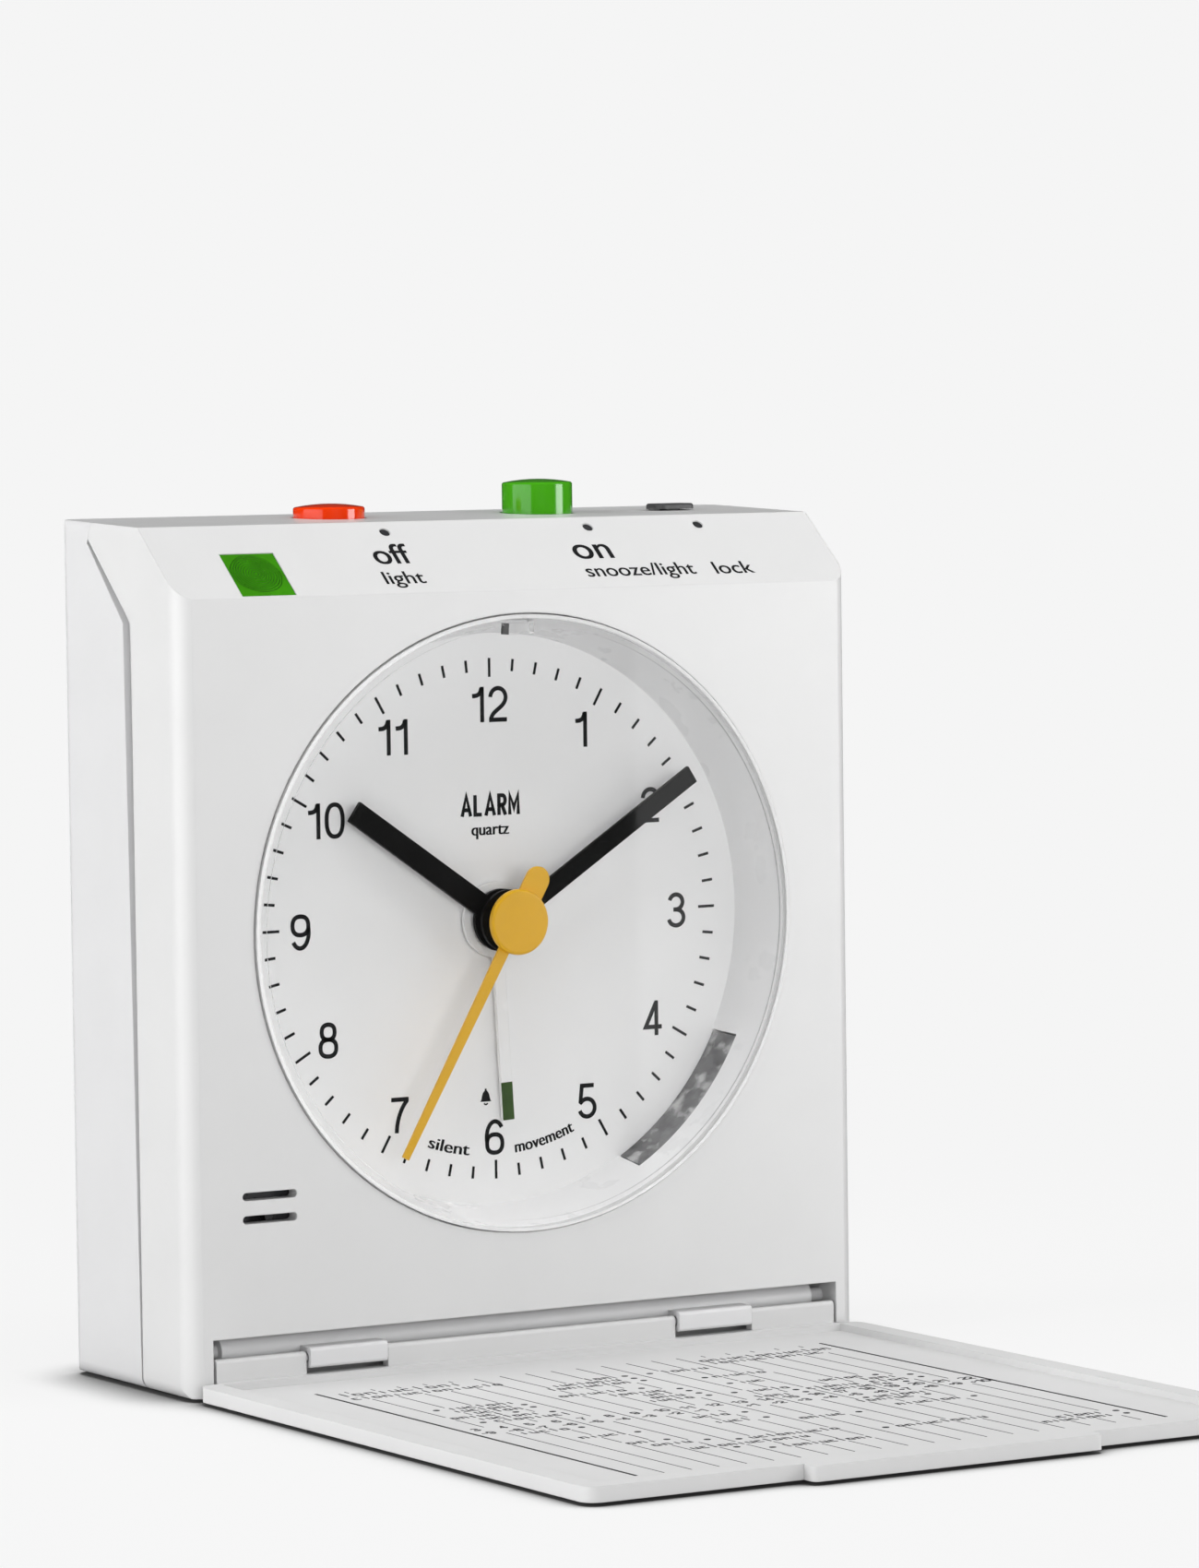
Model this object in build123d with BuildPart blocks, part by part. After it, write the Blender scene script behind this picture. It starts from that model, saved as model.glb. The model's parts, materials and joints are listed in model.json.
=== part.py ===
"""Travel alarm clock: case with a fold-down front lid, quartz movement, hands and top buttons.

Frame: +Z up, the front face looks towards -Y, +X is the clock's right hand side seen from
the front.  The exported origin is the middle of the case's bottom face, on the table.
Depths (y) are written here from the front face backwards; finish() moves every piece
forward by half the case depth.  All lengths are millimetres.
"""

from build123d import *
from math import atan, atan2, cos, degrees, pi, radians, sin
import os

os.makedirs("parts", exist_ok=True)

# ---------------------------------------------------------------- case
half_width = 37.5
crease_half_width = 36.0        # flat front face ends here, then the edge rounds back
front_round_depth = 2.2
case_depth = 25.0
rear_round = 2.2
chamfer_low_z = 75.3
chamfer_top_z = 82.0
chamfer_depth = 8.0
top_rear_z = 82.6
end_round = 1.4
wall = 1.6
seam_y = 9.7
seam_kink_z = 72.9
seam_top_y = 18.4
seam_top_z = 80.8
groove_depth = 0.7
tongue_half_width = 33.5
tongue_y = 21.2

# ---------------------------------------------------------------- dial and hands
dial_z = 43.1
opening_radius = 30.0
crystal_radius = 29.85
crystal_front_y = -0.3
crystal_rear_y = 0.9
ring_outer_radius = 31.2
ring_front_radius = 29.5
ring_dial_radius = 27.9
ring_front_y = 1.0
dial_y = 7.2
dial_thickness = 0.8
dial_radius = 31.0
light_slot_start = 116.0        # clockwise from twelve
light_slot_end = 150.0
light_slot_front_y = 3.9
light_gap = 0.1
hour_angle = 304.8
minute_angle = 57.5
second_angle = 210.0
alarm_angle = 177.0

second_arbor_radius = 0.5
minute_tube_radius = 1.0
hour_tube_radius = 1.5
alarm_tube_radius = 2.0
running_gap = 0.06

# ---------------------------------------------------------------- movement levels (front, rear)
movement_half_width = 24.0
movement_half_height = 22.0
front_plate = (8.2, 9.2)
alarm_level = (9.6, 10.4)
hour_level = (10.8, 11.6)
cannon_level = (11.9, 12.7)
minute_level = (12.95, 13.55)
third_level = (13.85, 14.45)
second_level = (14.75, 15.35)
fifth_level = (15.65, 16.25)
back_plate = (17.0, 18.0)
board_level = (18.0, 19.0)
arbor_front_y = 8.45
arbor_rear_y = 17.7
setting_arbor_radius = 0.8
arbor_end_y = 23.2

# arbor positions seen from the front, measured from the dial centre
third_at = (-7.2125, -7.2125)
fifth_at = (6.1872, -6.1872)
rotor_at = (12.9530, -8.6497)
reduction_at = (2.3294, 8.6933)
time_at = (11.2675, 7.6368)
alarm_at = (-7.6368, 7.6368)
stator_leg_x = (3.75, 20.25)
coil_x = 12.0
coil_z = -17.0

# ---------------------------------------------------------------- lid and hinge
recess_half_width = 35.0
recess_top_z = 5.45
recess_depth = 5.0
hinge_y = 0.55
hinge_z = 2.95
lid_half_width = 37.1
lid_length = 71.9
lid_thickness = 1.4
lid_inner_z = 0.7
lid_rim_width = 2.4
lid_rear_y = -0.5
flange_half_width = 34.7
flange_thickness = 1.1
flange_top_z = 3.55
knuckle_half_length = 4.2
knuckle_x = 20.6
knuckle_front_y = -0.4
knuckle_height = (2.0, 3.95)
knuckle_gap = 0.25
pin_radius = 0.45
roll_radius = 1.5
roll_y = 3.2
roll_z = 3.85
roll_half_length = 33.2
tab_half_width = 15.3
tab_length = 1.7

# ---------------------------------------------------------------- buttons, rocker and slider
button_x = 11.8
button_y = 17.2
button_radius = 3.5
button_hole_radius = 3.7
green_top_z = 85.7
button_stroke = 2.0
head_height = 5.4
dome_rise = 0.35
stem_radius = 1.5
stem_gap = 2.0                  # from the rocker's axis up to the stems, with the rocker level
rocker_y = 16.6
rocker_z = 70.5
rocker_ears = ((12.4, 13.6), (19.6, 20.8))
rocker_half_length = 13.6
rocker_width = 5.0
rocker_thickness = 1.6
rocker_pin_radius = 0.8
slider_x = 26.9
slider_y = 16.6
slider_travel = 2.8
slider_cap = (4.4, 3.0)

# ---------------------------------------------------------------- front details
sound_slot_x = -28.72
sound_slot_heights = (18.78, 16.58)
sound_slot_size = (5.84, 0.78)
buzzer_at = (-29.3, 16.2)
window_at = (-27.6, 3.3)        # on the sloping strip: across, up the slope
window_opening = (5.8, 6.1)
window_size = (5.7, 6.0)
dimple_x = (-11.4, 11.4, 24.1)
dimple_up = 8.9
dimple_radius = 0.55

# ---------------------------------------------------------------- setting knobs
knob_radius = 4.2
knob_front_y = 22.1
knob_rear_y = 24.7
pocket_floor_y = 21.8
pocket_back_y = 20.6

# ---------------------------------------------------------------- battery
battery_radius = 7.25
battery_length = 50.5
battery_nub_radius = 2.75
battery_nub_length = 1.05
battery_y = 15.9
battery_z = 11.2
door_half_width = 28.6
door_bottom_z = 3.2
door_top_z = 20.0
door_thickness = 1.5
door_gap = 0.2

# ---------------------------------------------------------------- fixings
case_screw_positions = [(-33.0, 30.0), (33.0, 30.0), (-33.0, 68.0), (33.0, 68.0)]
movement_post_positions = [(-26.0, -20.0), (26.0, -20.0), (-26.0, 20.0), (26.0, 20.0)]

chamfer_angle = degrees(atan((chamfer_top_z - chamfer_low_z) / chamfer_depth))
parts = []


# ---------------------------------------------------------------- shared geometry helpers
def face_plane(y, centre_z=dial_z):
    """Plane facing the front: local x is X, local y is Z, extruding moves towards the front."""
    return Plane(origin=(0, y, centre_z), x_dir=(1, 0, 0), z_dir=(0, -1, 0))


def hand_plane(y, clock_angle):
    """Front facing plane whose local x runs along a hand at the given clock angle."""
    turn = radians(clock_angle)
    return Plane(origin=(0, y, dial_z), x_dir=(sin(turn), 0, cos(turn)), z_dir=(0, -1, 0))


def chamfer_plane(height=0.0):
    """Plane of the sloping strip: local y climbs the slope from the front crease."""
    turn = radians(chamfer_angle)
    normal = Vector(0, -sin(turn), cos(turn))
    origin = Vector(0, 0, chamfer_low_z) + normal * height
    return Plane(origin=origin, x_dir=(1, 0, 0), z_dir=normal)


def top_z(y):
    """Height of the top face at a depth y."""
    rise = (top_rear_z - chamfer_top_z) / (case_depth - chamfer_depth)
    return chamfer_top_z + rise * (y - chamfer_depth)


def disc(radius, front, rear, at=(0, 0), mode=Mode.ADD, centre_z=dial_z):
    """Cylinder along the depth axis between two depths."""
    with BuildSketch(face_plane(rear, centre_z)) as outline:
        with Locations(at):
            Circle(radius)
    extrude(outline.sketch, amount=rear - front, mode=mode)


def tube(outer, inner, front, rear, at=(0, 0), centre_z=dial_z):
    """Hollow cylinder along the depth axis between two depths."""
    with BuildSketch(face_plane(rear, centre_z)) as outline:
        with Locations(at):
            Circle(outer)
            Circle(inner, mode=Mode.SUBTRACT)
    extrude(outline.sketch, amount=rear - front)


def block(x_range, y_range, z_range, mode=Mode.ADD):
    """Box between given limits, drawn on its bottom face and pulled up."""
    centre = ((x_range[0] + x_range[1]) / 2, (y_range[0] + y_range[1]) / 2)
    with BuildSketch(Plane.XY.offset(z_range[0])) as outline:
        with Locations(centre):
            Rectangle(x_range[1] - x_range[0], y_range[1] - y_range[0])
    extrude(outline.sketch, amount=z_range[1] - z_range[0], mode=mode)


def post_z(radius, at, z_range, mode=Mode.ADD):
    """Upright cylinder between two heights."""
    with BuildSketch(Plane.XY.offset(z_range[0])) as outline:
        with Locations(at):
            Circle(radius)
    extrude(outline.sketch, amount=z_range[1] - z_range[0], mode=mode)


def rod_x(radius, x_range, y, z, mode=Mode.ADD):
    """Cylinder lying along the width axis."""
    with BuildSketch(Plane.YZ.offset(x_range[0])) as outline:
        with Locations((y, z)):
            Circle(radius)
    extrude(outline.sketch, amount=x_range[1] - x_range[0], mode=mode)


def tooth_points(teeth, module, phase, addendum, dedendum, width, tip_width, at):
    """Outline of a toothed wheel; widths are fractions of the tooth pitch."""
    pitch_radius = teeth * module / 2
    pitch_angle = 2 * pi / teeth
    root = pitch_radius - dedendum * module
    tip = pitch_radius + addendum * module
    shoulders = [(root, -width / 2), (pitch_radius, -width / 2), (tip, -tip_width / 2),
                 (tip, tip_width / 2), (pitch_radius, width / 2), (root, width / 2)]
    points = []
    for index in range(teeth):
        centre = radians(phase) + index * pitch_angle
        for radius, offset in shoulders:
            angle = centre + offset * pitch_angle
            points.append((at[0] + radius * cos(angle), at[1] + radius * sin(angle)))
    return points


def gear(teeth, module, phase, level, at=(0, 0), bore=0.0, pinion=False):
    """Toothed wheel between two depths; pinions get short leaves, wheels long teeth."""
    if pinion:
        points = tooth_points(teeth, module, phase, 0.35, 1.15, 0.34, 0.18, at)
    else:
        points = tooth_points(teeth, module, phase, 0.75, 0.8, 0.40, 0.16, at)
    with BuildSketch(face_plane(level[1])) as outline:
        with BuildLine():
            Polyline(*points, close=True)
        make_face()
        if bore:
            with Locations(at):
                Circle(bore, mode=Mode.SUBTRACT)
    extrude(outline.sketch, amount=level[1] - level[0])


def heading(start, end):
    """Direction in degrees from one arbor to another, seen from the front."""
    return degrees(atan2(end[1] - start[1], end[0] - start[0]))


def mate_phase(own_phase, own_teeth, direction, mate_teeth):
    """Tooth phase that lets a second wheel mesh with this one along a direction."""
    offset = (own_phase - direction) * own_teeth / 360
    return direction + 180 - (offset + 0.5) * 360 / mate_teeth


def finish(builder, name):
    """Name a finished piece and write it out, measured from the middle of the case bottom."""
    placed = builder.part.moved(Location((0, -case_depth / 2, 0)))
    placed.label = name
    export_step(placed, f"parts/{name}.step")
    parts.append(name)


# ---------------------------------------------------------------- construction solids
def case_body(inset):
    """Whole outside form of the case, shrunk inwards by a wall thickness."""
    with BuildSketch(Plane.XY.offset(-5)) as outline:
        with BuildLine():
            Polyline((-crease_half_width, 0), (crease_half_width, 0))
            for side in (1, -1):
                front_end = (side * half_width, front_round_depth)
                rear_start = (side * half_width, case_depth - rear_round)
                rear_end = (side * (half_width - rear_round), case_depth)
                TangentArc(front_end, (side * crease_half_width, 0), tangent=(0, -1))
                Line(front_end, rear_start)
                TangentArc(rear_start, rear_end, tangent=(0, 1))
            Line((half_width - rear_round, case_depth), (rear_round - half_width, case_depth))
        make_face()
        if inset:
            offset(amount=-inset, kind=Kind.INTERSECTION, mode=Mode.REPLACE)
    extrude(outline.sketch, amount=100)
    with BuildSketch(Plane.YZ) as outline:
        with BuildLine():
            Polyline((0, 0), (case_depth, 0), (case_depth, top_rear_z),
                     (chamfer_depth, chamfer_top_z), (0, chamfer_low_z), close=True)
        make_face()
        if inset:
            offset(amount=-inset, kind=Kind.INTERSECTION, mode=Mode.REPLACE)
    extrude(outline.sketch, amount=half_width + 1, both=True, mode=Mode.INTERSECT)
    with BuildSketch(Plane.XZ) as outline:
        with Locations((0, top_rear_z / 2)):
            RectangleRounded(2 * (half_width - inset), top_rear_z + 0.6 - 2 * inset, end_round)
    extrude(outline.sketch, amount=case_depth + 1, both=True, mode=Mode.INTERSECT)


with BuildPart() as case_outside:
    case_body(0)

with BuildPart() as case_inside:
    case_body(wall)

with BuildPart() as front_zone:
    with BuildSketch(Plane.YZ):
        with BuildLine():
            Polyline((-2, -2), (seam_y, -2), (seam_y, seam_kink_z), (seam_top_y, seam_top_z),
                     (seam_top_y - 0.5, seam_top_z + 1.2), (seam_top_y - 0.5, 90), (-2, 90), close=True)
        make_face()
    extrude(amount=half_width + 1, both=True)
    block((-tongue_half_width, tongue_half_width), (seam_top_y - 1, tongue_y), (seam_top_z - 0.4, 90))

# ---------------------------------------------------------------- front shell
with BuildPart() as front_shell:
    add(case_outside.part)
    add(front_zone.part, mode=Mode.INTERSECT)
    add(case_inside.part, mode=Mode.SUBTRACT)
    # wall around the hinge recess, then the recess itself
    block((-recess_half_width - 0.9, recess_half_width + 0.9), (wall / 2, recess_depth + 1.2),
          (wall / 2, recess_top_z + 1.3))
    block((-recess_half_width, recess_half_width), (-1, recess_depth), (-1, recess_top_z),
          mode=Mode.SUBTRACT)
    # round opening for the dial
    disc(opening_radius, -1, wall + 0.2, mode=Mode.SUBTRACT)
    # sound slots over the buzzer
    for slot_z in sound_slot_heights:
        with BuildSketch(Plane.XZ.offset(1)):
            with Locations((sound_slot_x, slot_z)):
                SlotOverall(*sound_slot_size)
        extrude(amount=-4, mode=Mode.SUBTRACT)
    # window in the sloping strip
    with BuildSketch(chamfer_plane(1)):
        with Locations(window_at):
            Rectangle(*window_opening)
    extrude(amount=-6, mode=Mode.SUBTRACT)
    # three marker dimples on the slope, under the buttons and the slider
    with BuildSketch(chamfer_plane(0.5)):
        for mark_x in dimple_x:
            with Locations((mark_x, dimple_up)):
                Circle(dimple_radius)
    extrude(amount=-0.7, mode=Mode.SUBTRACT)
    # button holes and slider slot in the top
    for hole_x in (-button_x, button_x):
        post_z(button_hole_radius, (hole_x, button_y), (78, 90), mode=Mode.SUBTRACT)
    block((slider_x - slider_travel - 1.0, slider_x + 1.0), (slider_y - 0.75, slider_y + 0.75),
          (78, 90), mode=Mode.SUBTRACT)
    # two ears hanging from the top that carry the rocker pin
    for ear_y in rocker_ears:
        block((-2.6, 2.6), ear_y, (rocker_z - 1.8, 81.4))
    disc(rocker_pin_radius, 11, 22, at=(0, rocker_z), mode=Mode.SUBTRACT, centre_z=0)
    # posts for the case screws
    for post_x, post_height in case_screw_positions:
        disc(2.7, wall - 0.2, 19.6, at=(post_x, post_height), centre_z=0)
        disc(1.0, 12.0, 20.0, at=(post_x, post_height), mode=Mode.SUBTRACT, centre_z=0)
    # posts for the movement
    for post_at in movement_post_positions:
        disc(1.5, wall - 0.2, front_plate[0], at=post_at)
        disc(0.7, 3.5, front_plate[0] + 0.2, at=post_at, mode=Mode.SUBTRACT)
    # ring rib that holds the buzzer
    tube(6.4, 5.65, wall - 0.2, 4.6, at=buzzer_at, centre_z=0)
finish(front_shell, "front_shell")

# ---------------------------------------------------------------- rear shell
pocket_x = (alarm_at[0] - 5.4, time_at[0] + 5.4)
pocket_z = dial_z + time_at[1]
pocket_centre = ((pocket_x[0] + pocket_x[1]) / 2, pocket_z)

with BuildPart() as rear_shell:
    add(case_outside.part)
    add(case_inside.part, mode=Mode.SUBTRACT)
    # walls of the battery bay
    block((-half_width + wall / 2, half_width - wall / 2), (9.9, 23.9), (20.4, 21.0))
    for bay_x in ((-29.8, -28.8), (28.8, 29.8)):
        block(bay_x, (9.9, 24.0), (wall / 2, 21.0))
    # pocket for the two setting knobs
    with BuildSketch(face_plane(case_depth, 0)):
        with Locations(pocket_centre):
            SlotOverall(pocket_x[1] - pocket_x[0] + 2.4, 13.2)
    extrude(amount=case_depth - pocket_back_y)
    with BuildSketch(face_plane(case_depth + 1, 0)):
        with Locations(pocket_centre):
            SlotOverall(pocket_x[1] - pocket_x[0], 10.8)
    extrude(amount=case_depth + 1 - pocket_floor_y, mode=Mode.SUBTRACT)
    for knob_at in (time_at, alarm_at):
        disc(1.0, 19, 23, at=knob_at, mode=Mode.SUBTRACT)
    # screw wells
    for post_x, post_height in case_screw_positions:
        disc(3.0, 19.7, case_depth - 0.2, at=(post_x, post_height), centre_z=0)
    add(front_zone.part, mode=Mode.SUBTRACT)
    for post_x, post_height in case_screw_positions:
        disc(1.1, 19.0, 26.0, at=(post_x, post_height), mode=Mode.SUBTRACT, centre_z=0)
        disc(2.3, 21.8, 26.0, at=(post_x, post_height), mode=Mode.SUBTRACT, centre_z=0)
    # keep the hinge recess clear
    block((-recess_half_width - 1.0, recess_half_width + 1.0), (-1, recess_depth + 1.3),
          (-1, recess_top_z + 1.4), mode=Mode.SUBTRACT)
    # battery door opening with its two hinge holes and the thumb notch
    block((-door_half_width - door_gap, door_half_width + door_gap), (23.3, 26.0),
          (door_bottom_z - door_gap, door_top_z + door_gap), mode=Mode.SUBTRACT)
    rod_x(0.66, (-29.7, 29.7), case_depth - door_thickness / 2, door_bottom_z + door_thickness / 2,
          mode=Mode.SUBTRACT)
    # shadow groove along the seam on both sides, wider towards the top
    for groove_start in (-half_width - 1, half_width - groove_depth):
        with BuildSketch(Plane.YZ.offset(groove_start)):
            with BuildLine():
                Polyline((seam_y - 0.1, -1), (seam_y + 0.25, -1), (seam_y + 1.6, seam_kink_z),
                         (seam_top_y + 0.2, seam_top_z - 0.4), (seam_top_y - 0.1, seam_top_z + 0.3),
                         (seam_y - 0.1, seam_kink_z + 0.1), close=True)
            make_face()
        extrude(amount=groove_depth + 1, mode=Mode.SUBTRACT)
finish(rear_shell, "rear_shell")

# ---------------------------------------------------------------- dial group
with BuildPart() as crystal:
    disc(crystal_radius, crystal_front_y + 0.2, crystal_rear_y)
    tube(crystal_radius, crystal_radius - 1.1, crystal_front_y, crystal_front_y + 0.25)
    # moulding tab at twelve o'clock
    block((-1.4, 1.4), (crystal_rear_y - 0.5, crystal_rear_y + 1.5),
          (dial_z + 27.9, dial_z + 29.0))
finish(crystal, "crystal")

with BuildPart() as dial_ring:
    with BuildSketch(Plane.YZ.offset(0)):
        with BuildLine():
            Polyline((ring_front_y, dial_z + ring_front_radius), (dial_y, dial_z + ring_dial_radius),
                     (dial_y, dial_z + ring_outer_radius), (wall + 0.3, dial_z + ring_outer_radius),
                     (wall + 0.3, dial_z + opening_radius - 0.15),
                     (ring_front_y, dial_z + opening_radius - 0.15), close=True)
        make_face()
    revolve(axis=Axis((0, 0, dial_z), (0, 1, 0)))
    # arched slot for the light guide
    with BuildSketch(face_plane(dial_y)):
        with BuildLine():
            inner_arc = CenterArc((0, 0), ring_dial_radius - 1, 90 - light_slot_end,
                                  light_slot_end - light_slot_start)
            outer_arc = CenterArc((0, 0), ring_outer_radius + 1, 90 - light_slot_end,
                                  light_slot_end - light_slot_start)
            Line(inner_arc @ 0, outer_arc @ 0)
            Line(inner_arc @ 1, outer_arc @ 1)
        make_face()
    extrude(amount=dial_y - light_slot_front_y, mode=Mode.SUBTRACT)
    # relief for the crystal's tab
    block((-1.7, 1.7), (ring_front_y - 1, crystal_rear_y + 1.8), (dial_z + 27.6, dial_z + 29.3),
          mode=Mode.SUBTRACT)
finish(dial_ring, "dial_ring")

with BuildPart() as light_guide:
    with BuildSketch(face_plane(dial_y - light_gap)):
        with BuildLine():
            guide_inner = CenterArc((0, 0), ring_dial_radius, 90 - light_slot_end + 0.4,
                                    light_slot_end - light_slot_start - 0.8)
            guide_outer = CenterArc((0, 0), ring_outer_radius - 0.1, 90 - light_slot_end + 0.4,
                                    light_slot_end - light_slot_start - 0.8)
            Line(guide_inner @ 0, guide_outer @ 0)
            Line(guide_inner @ 1, guide_outer @ 1)
        make_face()
    extrude(amount=dial_y - light_slot_front_y - 2 * light_gap)
    # inner face flush with the ring's cone
    with BuildSketch(Plane.YZ):
        with BuildLine():
            Polyline((ring_front_y, dial_z), (ring_front_y, dial_z + ring_front_radius + light_gap),
                     (dial_y, dial_z + ring_dial_radius + light_gap), (dial_y, dial_z), close=True)
        make_face()
    revolve(axis=Axis((0, 0, dial_z), (0, 1, 0)), mode=Mode.SUBTRACT)
finish(light_guide, "light_guide")

lamp_turn = radians((light_slot_start + light_slot_end) / 2)
lamp_at = (33.4 * sin(lamp_turn), 33.4 * cos(lamp_turn))
with BuildPart() as dial_lamp:
    disc(1.4, 3.4, 6.2, at=lamp_at)
    fillet(dial_lamp.edges().group_by(Axis.Y)[0], 0.9)
    disc(1.7, 6.2, 7.0, at=lamp_at)
    for lead in (-0.6, 0.6):
        disc(0.2, 7.0, 9.4, at=(lamp_at[0] + lead, lamp_at[1]))
finish(dial_lamp, "dial_lamp")

with BuildPart() as dial_plate:
    tube(dial_radius, alarm_tube_radius + 0.35, dial_y, dial_y + dial_thickness)
finish(dial_plate, "dial_plate")


# ---------------------------------------------------------------- hands
def hand_blank(angle, front, rear, hub, bore, shape):
    """Flat hand: a round hub plus bars (start, end, half width at start, half width at end)."""
    with BuildSketch(hand_plane(rear, angle)) as outline:
        Circle(hub)
        for start, end, half_start, half_end in shape:
            with BuildLine():
                Polyline((start, -half_start), (end, -half_end), (end, half_end),
                         (start, half_start), close=True)
            make_face()
        if bore:
            Circle(bore, mode=Mode.SUBTRACT)
    extrude(outline.sketch, amount=rear - front)


alarm_hand_y = (6.35, 6.75)
hour_hand_y = (5.25, 5.75)
minute_hand_y = (3.85, 4.3)
second_hand_y = (2.3, 2.6)

with BuildPart() as alarm_hand:
    hand_blank(alarm_angle, *alarm_hand_y, 3.7, alarm_tube_radius, [(3.0, 19.7, 0.63, 0.63)])
finish(alarm_hand, "alarm_hand")

with BuildPart() as hour_hand:
    hand_blank(hour_angle, *hour_hand_y, 3.05, hour_tube_radius, [(2.0, 19.7, 1.1, 1.1)])
finish(hour_hand, "hour_hand")

with BuildPart() as minute_hand:
    hand_blank(minute_angle, *minute_hand_y, 3.05, minute_tube_radius, [(2.0, 25.0, 0.9, 0.9)])
finish(minute_hand, "minute_hand")

with BuildPart() as second_hand:
    hand_blank(second_angle, *second_hand_y, 2.2, second_arbor_radius,
               [(1.5, 25.6, 0.62, 0.36), (-4.6, -1.0, 1.3, 1.3)])
    with BuildSketch(hand_plane(second_hand_y[1], second_angle)):
        with Locations((-4.6, 0)):
            Circle(1.3)
    extrude(amount=second_hand_y[1] - second_hand_y[0])
    disc(3.2, 1.75, second_hand_y[0])
    fillet(second_hand.edges().group_by(Axis.Y)[0], 0.3)
finish(second_hand, "second_hand")

# ---------------------------------------------------------------- gear train phases
centre = (0, 0)
second_phase = 0.0
third_wheel_dir = heading(third_at, centre)
third_phase = 0.0
second_pinion_phase = mate_phase(third_phase, 60, third_wheel_dir, 8)
third_pinion_phase = 0.0
minute_phase = mate_phase(third_pinion_phase, 8, third_wheel_dir, 64)
fifth_pinion_phase = mate_phase(second_phase, 60, heading(centre, fifth_at), 10)
fifth_phase = 0.0
rotor_phase = mate_phase(fifth_phase, 60, heading(fifth_at, rotor_at), 12)
cannon_phase = 0.0
reduction_phase = mate_phase(cannon_phase, 12, heading(centre, reduction_at), 36)
reduction_pinion_phase = 0.0
hour_phase = mate_phase(reduction_pinion_phase, 12, heading(reduction_at, centre), 48)
time_phase = mate_phase(reduction_phase, 36, heading(reduction_at, time_at), 12)
alarm_phase = 0.0
alarm_pinion_phase = mate_phase(alarm_phase, 48, heading(centre, alarm_at), 24)

# ---------------------------------------------------------------- wheels
with BuildPart() as alarm_wheel:
    gear(48, 0.3, alarm_phase, alarm_level, bore=hour_tube_radius + running_gap)
    tube(alarm_tube_radius, hour_tube_radius + running_gap, alarm_hand_y[0], alarm_level[0])
finish(alarm_wheel, "alarm_wheel")

with BuildPart() as hour_wheel:
    gear(48, 0.3, hour_phase, hour_level, bore=minute_tube_radius + running_gap)
    tube(hour_tube_radius, minute_tube_radius + running_gap, hour_hand_y[0], hour_level[0])
finish(hour_wheel, "hour_wheel")

with BuildPart() as minute_wheel:
    gear(64, 0.2833333, minute_phase, minute_level, bore=second_arbor_radius + running_gap)
    gear(12, 0.375, cannon_phase, cannon_level, bore=second_arbor_radius + running_gap, pinion=True)
    tube(1.5, second_arbor_radius + running_gap, cannon_level[1], minute_level[0])
    tube(minute_tube_radius, second_arbor_radius + running_gap, minute_hand_y[0], cannon_level[0])
finish(minute_wheel, "minute_wheel")

with BuildPart() as second_wheel:
    gear(60, 0.25, second_phase, second_level, bore=second_arbor_radius)
    gear(8, 0.3, second_pinion_phase, third_level, bore=second_arbor_radius, pinion=True)
    tube(0.8, second_arbor_radius, third_level[1], second_level[0])
    disc(second_arbor_radius, second_hand_y[0], arbor_rear_y)
finish(second_wheel, "second_wheel")

with BuildPart() as third_wheel:
    gear(60, 0.3, third_phase, third_level, at=third_at)
    gear(8, 0.2833333, third_pinion_phase, minute_level, at=third_at, pinion=True)
    disc(0.8, minute_level[1], third_level[0], at=third_at)
    disc(0.45, arbor_front_y, arbor_rear_y, at=third_at)
finish(third_wheel, "third_wheel")

with BuildPart() as fifth_wheel:
    gear(60, 0.2, fifth_phase, fifth_level, at=fifth_at, bore=0.56)
    gear(10, 0.25, fifth_pinion_phase, second_level, at=fifth_at, bore=0.56, pinion=True)
    tube(0.95, 0.56, second_level[1], fifth_level[0], at=fifth_at)
finish(fifth_wheel, "fifth_wheel")

with BuildPart() as rotor:
    gear(12, 0.2, rotor_phase, fifth_level, at=rotor_at, pinion=True)
    disc(3.0, 12.0, 15.0, at=rotor_at)
    disc(0.9, 15.0, fifth_level[0], at=rotor_at)
    disc(0.4, arbor_front_y, arbor_rear_y, at=rotor_at)
finish(rotor, "rotor")

with BuildPart() as reduction_wheel:
    gear(36, 0.375, reduction_phase, cannon_level, at=reduction_at, bore=0.66)
    gear(12, 0.3, reduction_pinion_phase, hour_level, at=reduction_at, bore=0.66, pinion=True)
    tube(1.4, 0.66, hour_level[1], cannon_level[0], at=reduction_at)
finish(reduction_wheel, "reduction_wheel")

with BuildPart() as time_set_arbor:
    gear(12, 0.375, time_phase, cannon_level, at=time_at, pinion=True)
    disc(setting_arbor_radius, arbor_front_y, arbor_end_y, at=time_at)
finish(time_set_arbor, "time_set_arbor")

with BuildPart() as alarm_set_arbor:
    gear(24, 0.3, alarm_pinion_phase, alarm_level, at=alarm_at, pinion=True)
    disc(setting_arbor_radius, arbor_front_y, arbor_end_y, at=alarm_at)
finish(alarm_set_arbor, "alarm_set_arbor")


def setting_knob(at, ribs):
    """Small ribbed knob pushed onto the end of a setting arbor."""
    with BuildSketch(face_plane(knob_rear_y)) as outline:
        with Locations(at):
            Circle(knob_radius)
            with PolarLocations(knob_radius, ribs):
                Circle(0.22)
    extrude(outline.sketch, amount=knob_rear_y - knob_front_y)
    disc(setting_arbor_radius, knob_front_y - 0.1, arbor_end_y, at=at, mode=Mode.SUBTRACT)
    with BuildSketch(face_plane(25.0)) as outline:
        with Locations(at):
            Rectangle(5.6, 0.8)
    extrude(outline.sketch, amount=1.0, mode=Mode.SUBTRACT)


with BuildPart() as time_set_knob:
    setting_knob(time_at, 30)
finish(time_set_knob, "time_set_knob")

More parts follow.
